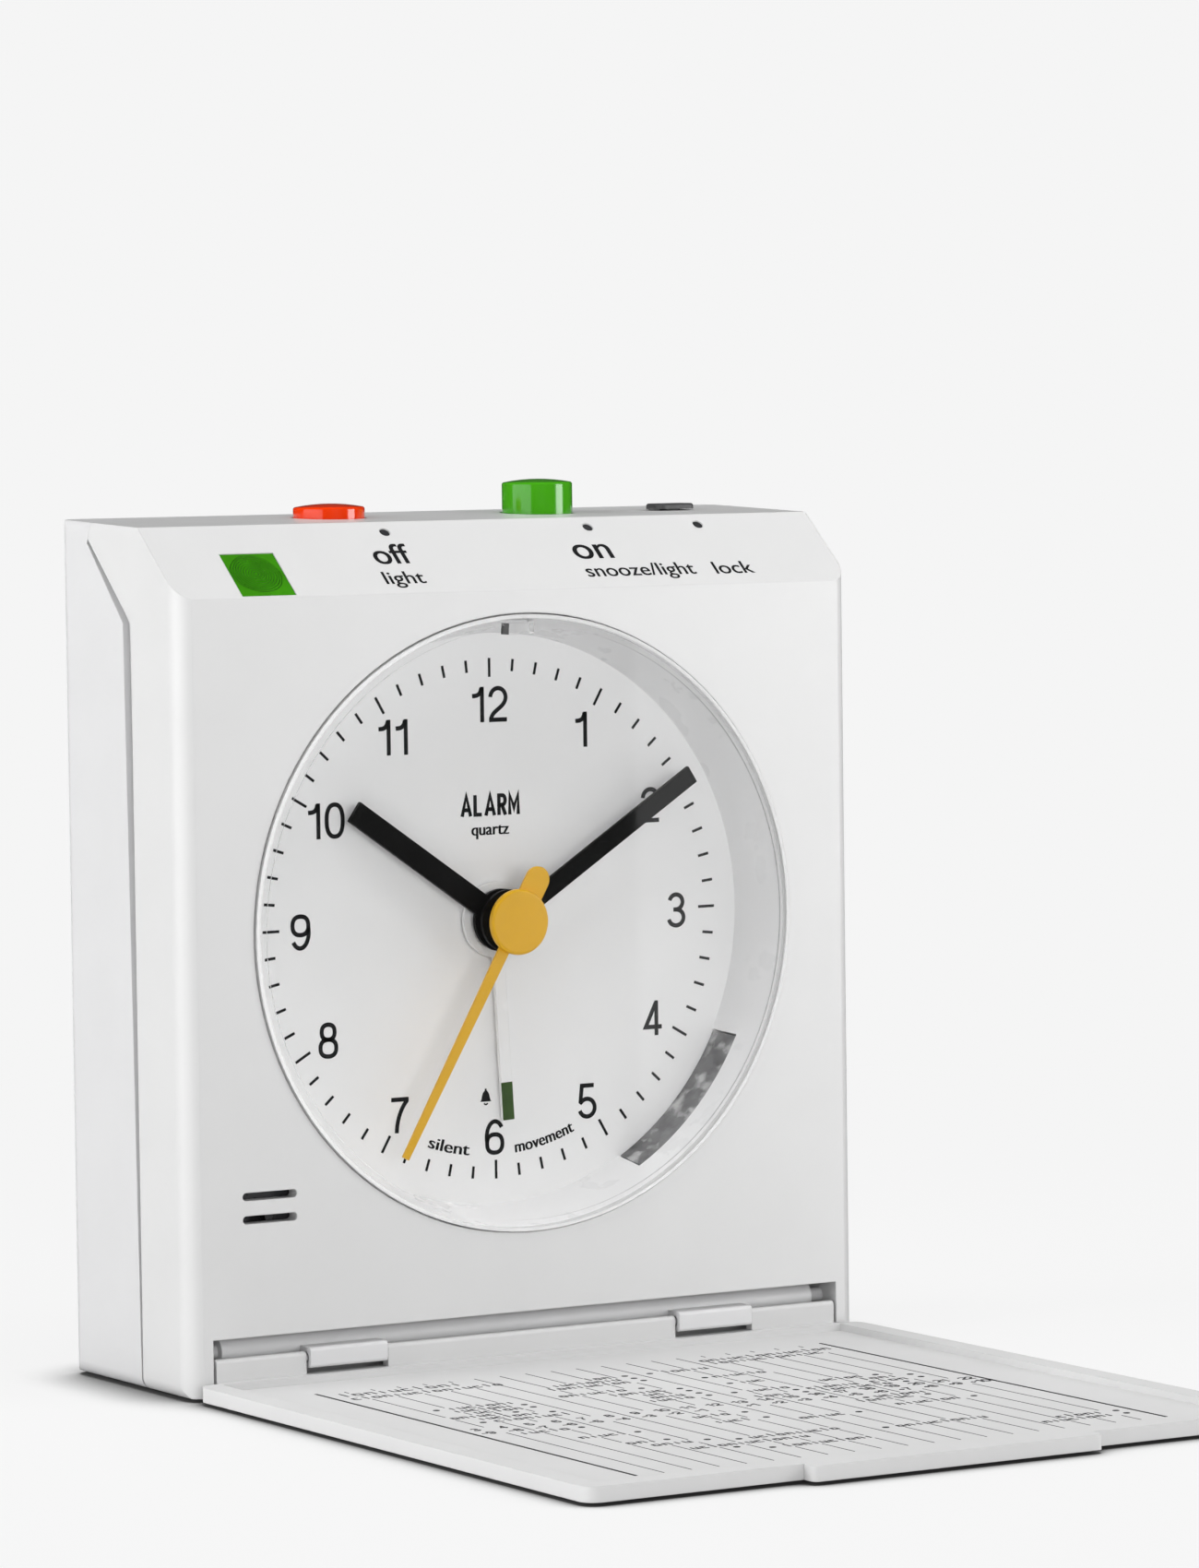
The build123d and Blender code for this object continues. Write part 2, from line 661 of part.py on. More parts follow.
with BuildPart() as alarm_set_knob:
    setting_knob(alarm_at, 30)
finish(alarm_set_knob, "alarm_set_knob")

# ---------------------------------------------------------------- movement frame
with BuildPart() as movement_front:
    with BuildSketch(face_plane(front_plate[1])):
        RectangleRounded(2 * movement_half_width, 2 * movement_half_height, 2.0)
        for ear_at in movement_post_positions:
            with Locations(ear_at):
                Circle(2.2)
        Circle(alarm_tube_radius + running_gap, mode=Mode.SUBTRACT)
        for hole_at, hole_radius in ((third_at, 0.5), (rotor_at, 0.45), (time_at, 0.86),
                                     (alarm_at, 0.86)):
            with Locations(hole_at):
                Circle(hole_radius, mode=Mode.SUBTRACT)
        for ear_at in movement_post_positions:
            with Locations(ear_at):
                Circle(0.75, mode=Mode.SUBTRACT)
    extrude(amount=front_plate[1] - front_plate[0])
    with BuildSketch(face_plane(back_plate[0])):
        RectangleRounded(2 * movement_half_width, 2 * movement_half_height, 2.0)
        RectangleRounded(2 * movement_half_width - 2, 2 * movement_half_height - 2, 1.2,
                         mode=Mode.SUBTRACT)
    extrude(amount=back_plate[0] - front_plate[1])
    disc(0.6, front_plate[1] - 0.2, 12.75, at=reduction_at)
    for leg_x in stator_leg_x:
        disc(1.1, front_plate[1] - 0.2, 13.0, at=(leg_x, coil_z))
finish(movement_front, "movement_front")

with BuildPart() as movement_back:
    with BuildSketch(face_plane(back_plate[1])):
        RectangleRounded(2 * movement_half_width, 2 * movement_half_height, 2.0)
        Circle(second_arbor_radius + running_gap, mode=Mode.SUBTRACT)
        for hole_at, hole_radius in ((third_at, 0.5), (rotor_at, 0.45), (time_at, 0.86),
                                     (alarm_at, 0.86)):
            with Locations(hole_at):
                Circle(hole_radius, mode=Mode.SUBTRACT)
    extrude(amount=back_plate[1] - back_plate[0])
    disc(0.5, 14.6, back_plate[0] + 0.2, at=fifth_at)
finish(movement_back, "movement_back")

with BuildPart() as stator:
    with BuildSketch(face_plane(14.0)):
        with Locations((12.0, -15.25)):
            Rectangle(21.0, 7.5)
        with Locations(rotor_at):
            Circle(5.0)
        with Locations((coil_x, -16.6)):
            Rectangle(12.0, 5.4, mode=Mode.SUBTRACT)
        with Locations(rotor_at):
            Circle(3.4, mode=Mode.SUBTRACT)
            with PolarLocations(3.4, 2, 60):
                Circle(0.45, mode=Mode.SUBTRACT)
    extrude(amount=1.0)
finish(stator, "stator")

with BuildPart() as coil_core:
    block((2.2, 21.8), (14.0, 14.9), (dial_z + coil_z - 1.3, dial_z + coil_z + 1.3))
finish(coil_core, "coil_core")

with BuildPart() as coil:
    rod_x(2.25, (6.3, 17.7), 14.45, dial_z + coil_z)
    for flange_x in ((6.3, 6.9), (17.1, 17.7)):
        rod_x(2.4, flange_x, 14.45, dial_z + coil_z)
    block((2, 22), (13.98, 14.92), (dial_z + coil_z - 1.32, dial_z + coil_z + 1.32),
          mode=Mode.SUBTRACT)
finish(coil, "coil")

# ---------------------------------------------------------------- circuit board
with BuildPart() as circuit_board:
    with BuildSketch(face_plane(board_level[1])):
        with Locations((0, 0)):
            RectangleRounded(43, 40, 1.5)
        for hole_at in (time_at, alarm_at):
            with Locations(hole_at):
                Circle(1.4, mode=Mode.SUBTRACT)
        with Locations(centre, rotor_at, third_at):
            Circle(1.0, mode=Mode.SUBTRACT)
    extrude(amount=board_level[1] - board_level[0])
finish(circuit_board, "circuit_board")

with BuildPart() as chip:
    disc(3.6, board_level[1], board_level[1] + 1.2, at=(-10, -9))
    fillet(chip.edges().group_by(Axis.Y)[-1], 0.7)
finish(chip, "chip")

with BuildPart() as quartz_can:
    rod_x(1.0, (0, 6.2), board_level[1] + 1.05, dial_z - 13)
    for lead in (-0.4, 0.4):
        rod_x(0.15, (-1.6, 0), board_level[1] + 1.05, dial_z - 13 + lead)
finish(quartz_can, "quartz_can")

with BuildPart() as capacitor:
    disc(2.0, board_level[1], board_level[1] + 3.6, at=(13, -12))
    fillet(capacitor.edges().group_by(Axis.Y)[-1], 0.3)
finish(capacitor, "capacitor")

# ---------------------------------------------------------------- sensor, buzzer
with BuildPart() as sensor_window:
    with BuildSketch(chamfer_plane(-0.05)):
        with Locations(window_at):
            Rectangle(*window_size)
    extrude(amount=-1.2)
finish(sensor_window, "sensor_window")

with BuildPart() as motion_sensor:
    with BuildSketch(chamfer_plane(-2.0)):
        with Locations(window_at):
            Circle(2.1)
    extrude(amount=-1.0)
    with BuildSketch(chamfer_plane(-3.0)):
        with Locations(window_at):
            Rectangle(6.4, 5.4)
    extrude(amount=-0.8)
finish(motion_sensor, "motion_sensor")

with BuildPart() as buzzer:
    disc(5.5, wall + 0.15, 3.4, at=buzzer_at, centre_z=0)
    disc(4.6, 3.4, 4.2, at=buzzer_at, centre_z=0)
    disc(1.0, 1.0, 3.0, at=buzzer_at, mode=Mode.SUBTRACT, centre_z=0)
finish(buzzer, "buzzer")

# ---------------------------------------------------------------- battery group
with BuildPart() as battery:
    nub_x = battery_length / 2 - battery_nub_length
    rod_x(battery_radius, (-battery_length / 2, nub_x), battery_y, battery_z)
    fillet(battery.edges(), 0.4)
    rod_x(battery_nub_radius, (nub_x - 0.1, battery_length / 2), battery_y, battery_z)
finish(battery, "battery")

with BuildPart() as contact_plus:
    block((25.4, 25.8), (battery_y - 3.5, battery_y + 3.5), (battery_z - 4.5, battery_z + 4.5))
    block((25.8, 28.7), (battery_y - 1.5, battery_y + 1.5), (battery_z + 4.1, battery_z + 4.5))
finish(contact_plus, "contact_plus")

with BuildPart() as contact_spring:
    with BuildLine():
        coil_path = Helix(pitch=0.95, height=2.4, radius=2.6, center=(-28.0, battery_y, battery_z),
                          direction=(1, 0, 0))
    with BuildSketch(Plane(origin=coil_path @ 0, z_dir=coil_path % 0)):
        Circle(0.25)
    sweep(is_frenet=True)
finish(contact_spring, "contact_spring")

with BuildPart() as contact_minus:
    block((-28.7, -28.35), (battery_y - 3.6, battery_y + 3.6), (battery_z - 4.5, battery_z + 4.5))
finish(contact_minus, "contact_minus")

door_axis_y = case_depth - door_thickness / 2
door_axis_z = door_bottom_z + door_thickness / 2
with BuildPart() as battery_door:
    block((-door_half_width, door_half_width), (case_depth - door_thickness, case_depth),
          (door_axis_z, door_top_z))
    rod_x(door_thickness / 2, (-door_half_width, door_half_width), door_axis_y, door_axis_z)
    for trunnion in ((-door_half_width - 0.9, -door_half_width), (door_half_width, door_half_width + 0.9)):
        rod_x(0.6, trunnion, door_axis_y, door_axis_z)
    # thumb scoop at the top edge
    with BuildSketch(face_plane(case_depth + 1, 0)):
        with Locations((0, door_top_z - 2.2)):
            SlotOverall(12, 2.4)
    extrude(amount=1.7, mode=Mode.SUBTRACT)
finish(battery_door, "battery_door")

# ---------------------------------------------------------------- buttons and rocker
def top_button(x, crown_z):
    """Round head with a low domed crown, on a stem that reaches down to the rocker."""
    shoulder_z = crown_z - dome_rise
    dome_radius = (button_radius ** 2 + dome_rise ** 2) / (2 * dome_rise)
    half_way = button_radius / 2
    half_way_z = crown_z - dome_radius + (dome_radius ** 2 - half_way ** 2) ** 0.5
    with BuildSketch(Plane(origin=(x, button_y, 0), x_dir=(1, 0, 0), z_dir=(0, -1, 0))) as outline:
        with BuildLine():
            Polyline((0, crown_z), (0, crown_z - head_height), (button_radius, crown_z - head_height),
                     (button_radius, shoulder_z))
            ThreePointArc((button_radius, shoulder_z), (half_way, half_way_z), (0, crown_z))
        make_face()
    revolve(outline.sketch, axis=Axis((x, button_y, 0), (0, 0, 1)))


def shoulder_edge(button):
    """The round edge between a button's side and its dome."""
    rims = button.edges().filter_by(lambda edge: abs(edge.length - 2 * pi * button_radius) < 0.01)
    return rims.sort_by(Axis.Z)[-1]


with BuildPart() as green_button:
    top_button(button_x, green_top_z)
    fillet(shoulder_edge(green_button), 0.25)
    post_z(stem_radius, (button_x, button_y), (rocker_z + stem_gap, green_top_z - head_height))
finish(green_button, "green_button")

with BuildPart() as red_button:
    top_button(-button_x, green_top_z - button_stroke)
    fillet(shoulder_edge(red_button), 0.25)
    post_z(stem_radius, (-button_x, button_y),
           (rocker_z + stem_gap - button_stroke, green_top_z - button_stroke - head_height))
finish(red_button, "red_button")

rocker_tilt = degrees(atan(button_stroke / 2 / button_x))
with BuildPart() as rocker:
    tilt = Plane(origin=(0, rocker_y, rocker_z),
                 x_dir=(cos(radians(rocker_tilt)), 0, sin(radians(rocker_tilt))), z_dir=(0, -1, 0))
    with BuildSketch(tilt):
        Rectangle(2 * rocker_half_length, rocker_thickness)
        Circle(1.6)
        Circle(rocker_pin_radius + running_gap, mode=Mode.SUBTRACT)
    extrude(amount=rocker_width / 2, both=True)
finish(rocker, "rocker")

with BuildPart() as rocker_pin:
    disc(rocker_pin_radius, 12.45, 20.75, at=(0, rocker_z), centre_z=0)
finish(rocker_pin, "rocker_pin")

slider_deck_z = top_z(slider_y)
with BuildPart() as lock_slider:
    with BuildSketch(Plane.XY.offset(slider_deck_z + 0.12)):
        with Locations((slider_x, slider_y)):
            RectangleRounded(*slider_cap, 0.8)
    extrude(amount=0.55)
    fillet(lock_slider.edges().group_by(Axis.Z)[-1], 0.25)
    block((slider_x - 0.8, slider_x + 0.8), (slider_y - 0.6, slider_y + 0.6), (79.6, slider_deck_z + 0.2))
    block((18.4, slider_x + 1.6), (slider_y - 1.8, slider_y + 1.8), (79.0, 80.2))
finish(lock_slider, "lock_slider")

with BuildPart() as switch_leaf:
    block((-12.6, -10.2), (rocker_y - 1.0, rocker_y + 1.0), (65.15, 65.4))
    block((-10.45, -10.2), (rocker_y - 1.0, rocker_y + 1.0), (65.15, 68.0))
    block((-13.0, -10.2), (rocker_y - 1.0, rocker_y + 1.0), (67.8, 68.0))
finish(switch_leaf, "switch_leaf")

# ---------------------------------------------------------------- hinge and lid
knuckle_ranges = [(side * knuckle_x - knuckle_half_length, side * knuckle_x + knuckle_half_length)
                  for side in (-1, 1)]
with BuildPart() as hinge_bar:
    rod_x(roll_radius, (-roll_half_length, roll_half_length), roll_y, roll_z)
    for knuckle in knuckle_ranges:
        block(knuckle, (knuckle_front_y, roll_y), knuckle_height)
    fillet(hinge_bar.edges().filter_by(Axis.X).group_by(Axis.Y)[0], 0.35)
    for knuckle in knuckle_ranges:
        rod_x(pin_radius + running_gap, (knuckle[0] - 1, knuckle[1] + 1), hinge_y, hinge_z,
              mode=Mode.SUBTRACT)
    for journal in ((-recess_half_width, -roll_half_length), (roll_half_length, recess_half_width)):
        rod_x(0.7, journal, roll_y, roll_z)
finish(hinge_bar, "hinge_bar")

with BuildPart() as lid:
    lid_front_y = -lid_length
    with BuildSketch(Plane.XY):
        with Locations((0, (lid_rear_y + lid_front_y) / 2)):
            RectangleRounded(2 * lid_half_width, lid_rear_y - lid_front_y, 1.6)
        with Locations((0, (flange_thickness + lid_rear_y - 2) / 2)):
            Rectangle(2 * flange_half_width, flange_thickness - lid_rear_y + 2)
    extrude(amount=lid_thickness)
    # shallow tray inside the raised rim
    with BuildSketch(Plane.XY.offset(lid_inner_z)):
        with Locations((0, (lid_front_y + lid_rim_width - 1.2) / 2)):
            Rectangle(2 * (lid_half_width - lid_rim_width), -lid_front_y - lid_rim_width - 1.2)
    extrude(amount=1, mode=Mode.SUBTRACT)
    # upright hinge flange, notched around the two knuckles
    block((-flange_half_width, flange_half_width), (0, flange_thickness), (0.2, flange_top_z))
    fillet(lid.edges().filter_by(Axis.X).group_by(Axis.Z)[-1], 0.4)
    for knuckle in knuckle_ranges:
        block((knuckle[0] - knuckle_gap, knuckle[1] + knuckle_gap), (-0.01, flange_thickness + 1),
              (lid_thickness, flange_top_z + 1), mode=Mode.SUBTRACT)
    # finger tab on the front edge
    with BuildSketch(Plane.XY):
        with Locations((0, lid_front_y - tab_length / 2 + 0.5)):
            RectangleRounded(2 * tab_half_width, tab_length + 1, 0.6)
    extrude(amount=lid_thickness)
    for knuckle in knuckle_ranges:
        rod_x(pin_radius, (knuckle[0] - 2.3, knuckle[1] + 2.3), hinge_y, hinge_z, mode=Mode.SUBTRACT)
finish(lid, "lid")

with BuildPart() as hinge_pins:
    for knuckle in knuckle_ranges:
        rod_x(pin_radius, (knuckle[0] - 2.2, knuckle[1] + 2.2), hinge_y, hinge_z)
finish(hinge_pins, "hinge_pins")

# ---------------------------------------------------------------- fasteners
with BuildPart() as case_screws:
    for post_x, post_height in case_screw_positions:
        disc(2.0, 21.8, 23.0, at=(post_x, post_height), centre_z=0)
        with BuildSketch(face_plane(23.1, 0)):
            with Locations((post_x, post_height)):
                Rectangle(2.6, 0.5)
                Rectangle(0.5, 2.6)
        extrude(amount=0.7, mode=Mode.SUBTRACT)
        disc(1.0, 13.0, 21.8, at=(post_x, post_height), centre_z=0)
finish(case_screws, "case_screws")

with BuildPart() as movement_screws:
    for post_at in movement_post_positions:
        disc(1.4, front_plate[1], front_plate[1] + 0.9, at=post_at)
        with BuildSketch(face_plane(front_plate[1] + 1.0)):
            with Locations(post_at):
                Rectangle(1.9, 0.4)
        extrude(amount=0.5, mode=Mode.SUBTRACT)
        disc(0.7, 4.0, front_plate[1], at=post_at)
finish(movement_screws, "movement_screws")

print(len(parts), "pieces:", ", ".join(parts))
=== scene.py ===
"""Looks of the travel alarm clock: prints, materials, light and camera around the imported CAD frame.

Lengths in this file are millimetres, and at() turns them into scene metres.  The exceptions are
names that end in _M, in metres, or in _um, in microns, and the lamps' places and sizes, in metres.
Colours are scene-linear.  As in the CAD source, depths (y) run backwards from the front face of
the case.
"""

import json
from math import atan, cos, pi, radians, sin, tan

import bmesh
import bpy
from mathutils import Matrix, Vector


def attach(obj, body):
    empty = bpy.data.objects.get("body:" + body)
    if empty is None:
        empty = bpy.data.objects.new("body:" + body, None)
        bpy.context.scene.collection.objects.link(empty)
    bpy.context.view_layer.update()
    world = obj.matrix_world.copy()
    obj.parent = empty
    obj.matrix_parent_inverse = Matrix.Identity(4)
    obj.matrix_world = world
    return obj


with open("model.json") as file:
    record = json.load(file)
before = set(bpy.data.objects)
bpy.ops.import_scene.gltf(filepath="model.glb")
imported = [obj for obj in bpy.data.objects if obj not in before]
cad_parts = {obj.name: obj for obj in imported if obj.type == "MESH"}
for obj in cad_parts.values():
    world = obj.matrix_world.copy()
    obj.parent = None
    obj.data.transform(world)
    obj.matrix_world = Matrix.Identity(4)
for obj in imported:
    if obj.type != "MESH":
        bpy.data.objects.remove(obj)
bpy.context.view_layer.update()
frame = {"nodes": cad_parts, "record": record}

NODES = frame["nodes"]
MM = 0.001
MICRON = 1e-6

# ---------------------------------------------------------------- dimensions shared with the CAD
HALF_DEPTH = 12.5
DIAL_Z = 43.1
DIAL_Y = 7.2
CHAMFER_LOW_Z = 75.3
CHAMFER_RISE, CHAMFER_RUN = 6.7, 8.0
CHAMFER_ANGLE = atan(CHAMFER_RISE / CHAMFER_RUN)
LID_FLOOR_Z = 0.7
ALARM_HAND_Y = 6.35
ALARM_ANGLE = radians(177.0)
INK = 0.025                     # printed ink stands this proud of its surface


# ---------------------------------------------------------------- placing
def at(x, y, z):
    """Scene point, in metres, from millimetres measured from the front face."""
    return Vector((x * MM, (y - HALF_DEPTH) * MM, z * MM))


def on_dial(u, v, h):
    """u to the right, v up from the dial centre, h towards the viewer."""
    return at(u, DIAL_Y - h, DIAL_Z + v)


def on_chamfer(u, v, h):
    """u to the right, v up the sloping strip from the front crease, h off its surface."""
    return at(u, v * cos(CHAMFER_ANGLE) - h * sin(CHAMFER_ANGLE),
              CHAMFER_LOW_Z + v * sin(CHAMFER_ANGLE) + h * cos(CHAMFER_ANGLE))


def on_lid(u, v, h):
    """u to the right, v is the depth, negative towards the viewer, h above the tray floor."""
    return at(u, v, LID_FLOOR_Z + h)


def on_alarm_hand(u, v, h):
    """u along the alarm hand from the dial centre, v across it, h towards the viewer."""
    x = u * sin(ALARM_ANGLE) - v * cos(ALARM_ANGLE)
    z = u * cos(ALARM_ANGLE) + v * sin(ALARM_ANGLE)
    return at(x, ALARM_HAND_Y - h, DIAL_Z + z)


# ---------------------------------------------------------------- mesh building
def new_piece(name, bm, body, material):
    """Turn a bmesh into a piece that rides on a body."""
    bmesh.ops.recalc_face_normals(bm, faces=bm.faces)
    mesh = bpy.data.meshes.new(name)
    bm.to_mesh(mesh)
    bm.free()
    for face in mesh.polygons:
        face.use_smooth = False
    piece = bpy.data.objects.new(name, mesh)
    bpy.context.scene.collection.objects.link(piece)
    mesh.materials.append(material)
    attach(piece, body)
    return piece


def add_slab(bm, outline, place, low=0.0, high=INK):
    """Closed plate over a 2D outline, between two heights."""
    bottom = [bm.verts.new(place(u, v, low)) for u, v in outline]
    top = [bm.verts.new(place(u, v, high)) for u, v in outline]
    bm.faces.new(top)
    bm.faces.new(reversed(bottom))
    for i in range(len(outline)):
        j = (i + 1) % len(outline)
        bm.faces.new((bottom[i], bottom[j], top[j], top[i]))


def add_stroke(bm, points, half, place, closed=False, low=0.0, high=INK):
    """Closed ribbon of constant width along a 2D path, with mitred corners."""
    count = len(points)
    sides = []
    for i in range(count):
        here = Vector(points[i])
        into = here - Vector(points[i - 1]) if i or closed else None
        out = Vector(points[(i + 1) % count]) - here if i < count - 1 or closed else None
        into, out = into or out, out or into
        normals = [Vector((-d.y, d.x)).normalized() for d in (into, out)]
        middle = (normals[0] + normals[1]).normalized()
        reach = half / max(0.4, middle.dot(normals[0]))
        sides.append((here + middle * reach, here - middle * reach))
    rows = [[bm.verts.new(place(p.x, p.y, h)) for p in pair for h in (low, high)] for pair in sides]
    for i in range(count if closed else count - 1):
        a, b = rows[i], rows[(i + 1) % count]
        for first, second in ((0, 1), (1, 3), (3, 2), (2, 0)):
            bm.faces.new((a[first], a[second], b[second], b[first]))
    if not closed:
        for end in (rows[0], rows[-1]):
            bm.faces.new((end[0], end[1], end[3], end[2]))


def arc(cx, cy, rx, ry, start, end, steps=18):
    """Points along an elliptic arc, angles in degrees."""
    turns = [radians(start + (end - start) * i / steps) for i in range(steps + 1)]
    return [(cx + rx * cos(t), cy + ry * sin(t)) for t in turns]


def loop(cx, cy, rx, ry, power=2.4, steps=36):
    """Closed squarish oval."""
    points = []
    for i in range(steps):
        c, s = cos(2 * pi * i / steps), sin(2 * pi * i / steps)
        size = (abs(c) ** power + abs(s) ** power) ** (-1 / power)
        points.append((cx + rx * c * size, cy + ry * s * size))
    return points


def bezier(a, b, c, d, steps=12):
    """Points along a cubic curve from a to d, steered by b and c."""
    points = []
    for i in range(steps + 1):
        t = i / steps
        w = ((1 - t) ** 3, 3 * t * (1 - t) ** 2, 3 * t * t * (1 - t), t ** 3)
        points.append(tuple(sum(k * p[axis] for k, p in zip(w, (a, b, c, d))) for axis in (0, 1)))
    return points


# ---------------------------------------------------------------- numerals, one unit tall
SIX = [(loop(0.005, 0.315, 0.25, 0.258), True),
       (arc(0.02, 0.49, 0.275, 0.455, 195, 38), False)]
DIGITS = {
    "0": [(loop(0, 0.5, 0.255, 0.445), True)],
    "1": [([(0.10, 0.0), (0.10, 1.0)], False),
          ([(-0.22, 0.745)] + bezier((-0.12, 0.75), (0.0, 0.76), (0.06, 0.84), (0.075, 0.97)), False)],
    "2": [(arc(0, 0.69, 0.25, 0.255, 178, -28) +
           bezier((0.20, 0.535), (0.09, 0.36), (-0.19, 0.30), (-0.235, 0.08)), False),
          ([(-0.295, 0.055), (0.285, 0.055)], False)],
    "3": [(arc(0, 0.73, 0.22, 0.215, 165, -90) + [(-0.09, 0.515)], False),
          (arc(0, 0.285, 0.25, 0.23, 90, -168), False)],
    "4": [([(0.29, 0.245), (-0.25, 0.245), (0.09, 0.93)], False),
          ([(0.11, 0.0), (0.11, 1.0)], False)],
    "5": [([(0.23, 0.945), (-0.165, 0.945), (-0.215, 0.49)] +
           arc(0.0, 0.31, 0.255, 0.255, 140, -162), False)],
    "6": SIX,
    "7": [([(-0.265, 0.945), (0.235, 0.945)] +
           bezier((0.235, 0.90), (0.03, 0.68), (-0.09, 0.34), (-0.10, 0.0)), False)],
    "8": [(loop(0, 0.735, 0.205, 0.21), True), (loop(0, 0.29, 0.25, 0.235), True)],
    "9": [([(-x, 1 - y) for x, y in points], closed) for points, closed in SIX],
    "+": [([(-0.22, 0.4), (0.22, 0.4)], False), ([(0, 0.18), (0, 0.62)], False)],
    "-": [([(-0.22, 0.4), (0.22, 0.4)], False)],
}


def add_number(bm, text, u, v, height, place, weight=0.06, pitch=0.66):
    """Numerals centred on (u, v)."""
    start = u - (len(text) - 1) * pitch * height / 2
    for index, sign in enumerate(text):
        x0 = start + index * pitch * height
        for points, closed in DIGITS[sign]:
            add_stroke(bm, [(x0 + x * height, v + (y - 0.5) * height) for x, y in points],
                       weight * height, place, closed)


# ---------------------------------------------------------------- capitals, one unit tall and 0.7 wide
CAPITALS = {
    "A": [([(0.04, 0.0), (0.35, 0.97), (0.66, 0.0)], False), ([(0.14, 0.30), (0.56, 0.30)], False)],
    "L": [([(0.12, 1.0), (0.12, 0.065), (0.60, 0.065)], False)],
    "R": [([(0.12, 0.0), (0.12, 0.935), (0.38, 0.935)] + arc(0.38, 0.71, 0.2, 0.225, 80, -80, 10) +
           [(0.38, 0.485), (0.12, 0.485)], False), ([(0.34, 0.485), (0.60, 0.0)], False)],
    "M": [([(0.04, 0.0), (0.04, 0.95), (0.35, 0.30), (0.66, 0.95), (0.66, 0.0)], False)],
}


CAPITAL_INSET, CAPITAL_STRETCH = 0.1, 1.14      # a capital's left margin, in letter steps, and its stretch


def add_capitals(bm, text, left, right, base, height, place, weight):
    """A word of capitals fitted between two u limits."""
    step = (right - left) / len(text)
    for index, letter in enumerate(text):
        for points, closed in CAPITALS[letter]:
            path = [(left + (index + CAPITAL_INSET + x * CAPITAL_STRETCH) * step, base + y * height)
                    for x, y in points]
            add_stroke(bm, path, weight, place, closed)


# ---------------------------------------------------------------- words in the built-in font
FONT_ASCENT = 0.74              # height of a tall letter for a font size of one
SECOND_COPY = 0.9               # the right-hand copy's share of the ink height: its top stays lower


def add_word(bm, text, left, right, base, ascent, place, bold=0.05):
    """A word fitted between two u limits, standing on a base line.

    It is drawn twice, bold to the left and bold to the right of its place, so its strokes thicken.
    """
    curve = bpy.data.curves.new("word", "FONT")
    curve.body = text
    curve.extrude = 0.5
    holder = bpy.data.objects.new("word", curve)
    bpy.context.scene.collection.objects.link(holder)
    bpy.context.view_layer.update()
    evaluated = holder.evaluated_get(bpy.context.evaluated_depsgraph_get())
    mesh = bpy.data.meshes.new_from_object(evaluated)
    drawn = [p.co.copy() for p in mesh.vertices]
    lowest = min(co.x for co in drawn)
    highest = max(co.x for co in drawn)
    for shift, height in ((-bold, INK), (bold, SECOND_COPY * INK)):
        for p, co in zip(mesh.vertices, drawn):
            u = left + (co.x - lowest) / (highest - lowest) * (right - left) + shift
            p.co = place(u, base + co.y / FONT_ASCENT * ascent, (co.z + 0.5) * height)
        bm.from_mesh(mesh)
    bpy.data.objects.remove(holder)
    bpy.data.curves.remove(curve)
    bpy.data.meshes.remove(mesh)


# ---------------------------------------------------------------- materials
def node_of(tree, kind, **values):
    """New node; each value is one of its properties or, failing that, one of its inputs."""
    node = tree.nodes.new(kind)
    for key, value in values.items():
        if hasattr(node, key):
            setattr(node, key, value)
        else:
            node.inputs[key.replace("_", " ")].default_value = value
    return node


def noise(tree, size_mm, detail=2.0):
    """Noise factor whose features are about size_mm across, fixed to the piece."""
    coords = node_of(tree, "ShaderNodeTexCoord")
    texture = node_of(tree, "ShaderNodeTexNoise")
    texture.inputs["Scale"].default_value = 1.0 / (size_mm * MM)
    texture.inputs["Detail"].default_value = detail
    tree.links.new(coords.outputs["Object"], texture.inputs["Vector"])
    return texture.outputs["Fac"]


def spread(tree, factor, low, high, from_low=0.3, from_high=0.7):
    """Map a factor to a range."""
    node = node_of(tree, "ShaderNodeMapRange")
    limits = {"From Min": from_low, "From Max": from_high, "To Min": low, "To Max": high}
    for key, value in limits.items():
        node.inputs[key].default_value = value
    tree.links.new(factor, node.inputs["Value"])
    return node.outputs["Result"]


def blend_colours(tree, factor, first, second):
    """Mix of two colours, each a socket or an RGB triple."""
    node = node_of(tree, "ShaderNodeMix", data_type="RGBA")
    for socket, colour in ((node.inputs[6], first), (node.inputs[7], second)):
        if hasattr(colour, "links"):
            tree.links.new(colour, socket)
        else:
            socket.default_value = (*colour, 1.0)
    tree.links.new(factor, node.inputs[0])
    return node.outputs[2]


def blend_shaders(tree, factor, first, second):
    """Mix of two shaders: the first where factor is 0, the second where it is 1."""
    node = node_of(tree, "ShaderNodeMixShader")
    for socket, source in zip(node.inputs, (factor, first, second)):
        tree.links.new(source, socket)
    return node.outputs["Shader"]


def grey(tree, level):
    """Neutral colour of the given level."""
    node = node_of(tree, "ShaderNodeCombineColor")
    for channel in ("Red", "Green", "Blue"):
        tree.links.new(level, node.inputs[channel])
    return node.outputs["Color"]


def shade(colour, amount):
    """A colour scaled by amount and kept between 0 and 1."""
    return tuple(min(1.0, max(0.0, c * amount)) for c in colour)


PATCH_FROM, PATCH_TO = 0.52, 0.66            # noise levels between which a patch fades in
GLOSS_SCALE = 0.4               # size of the gloss variation as a share of the colour's


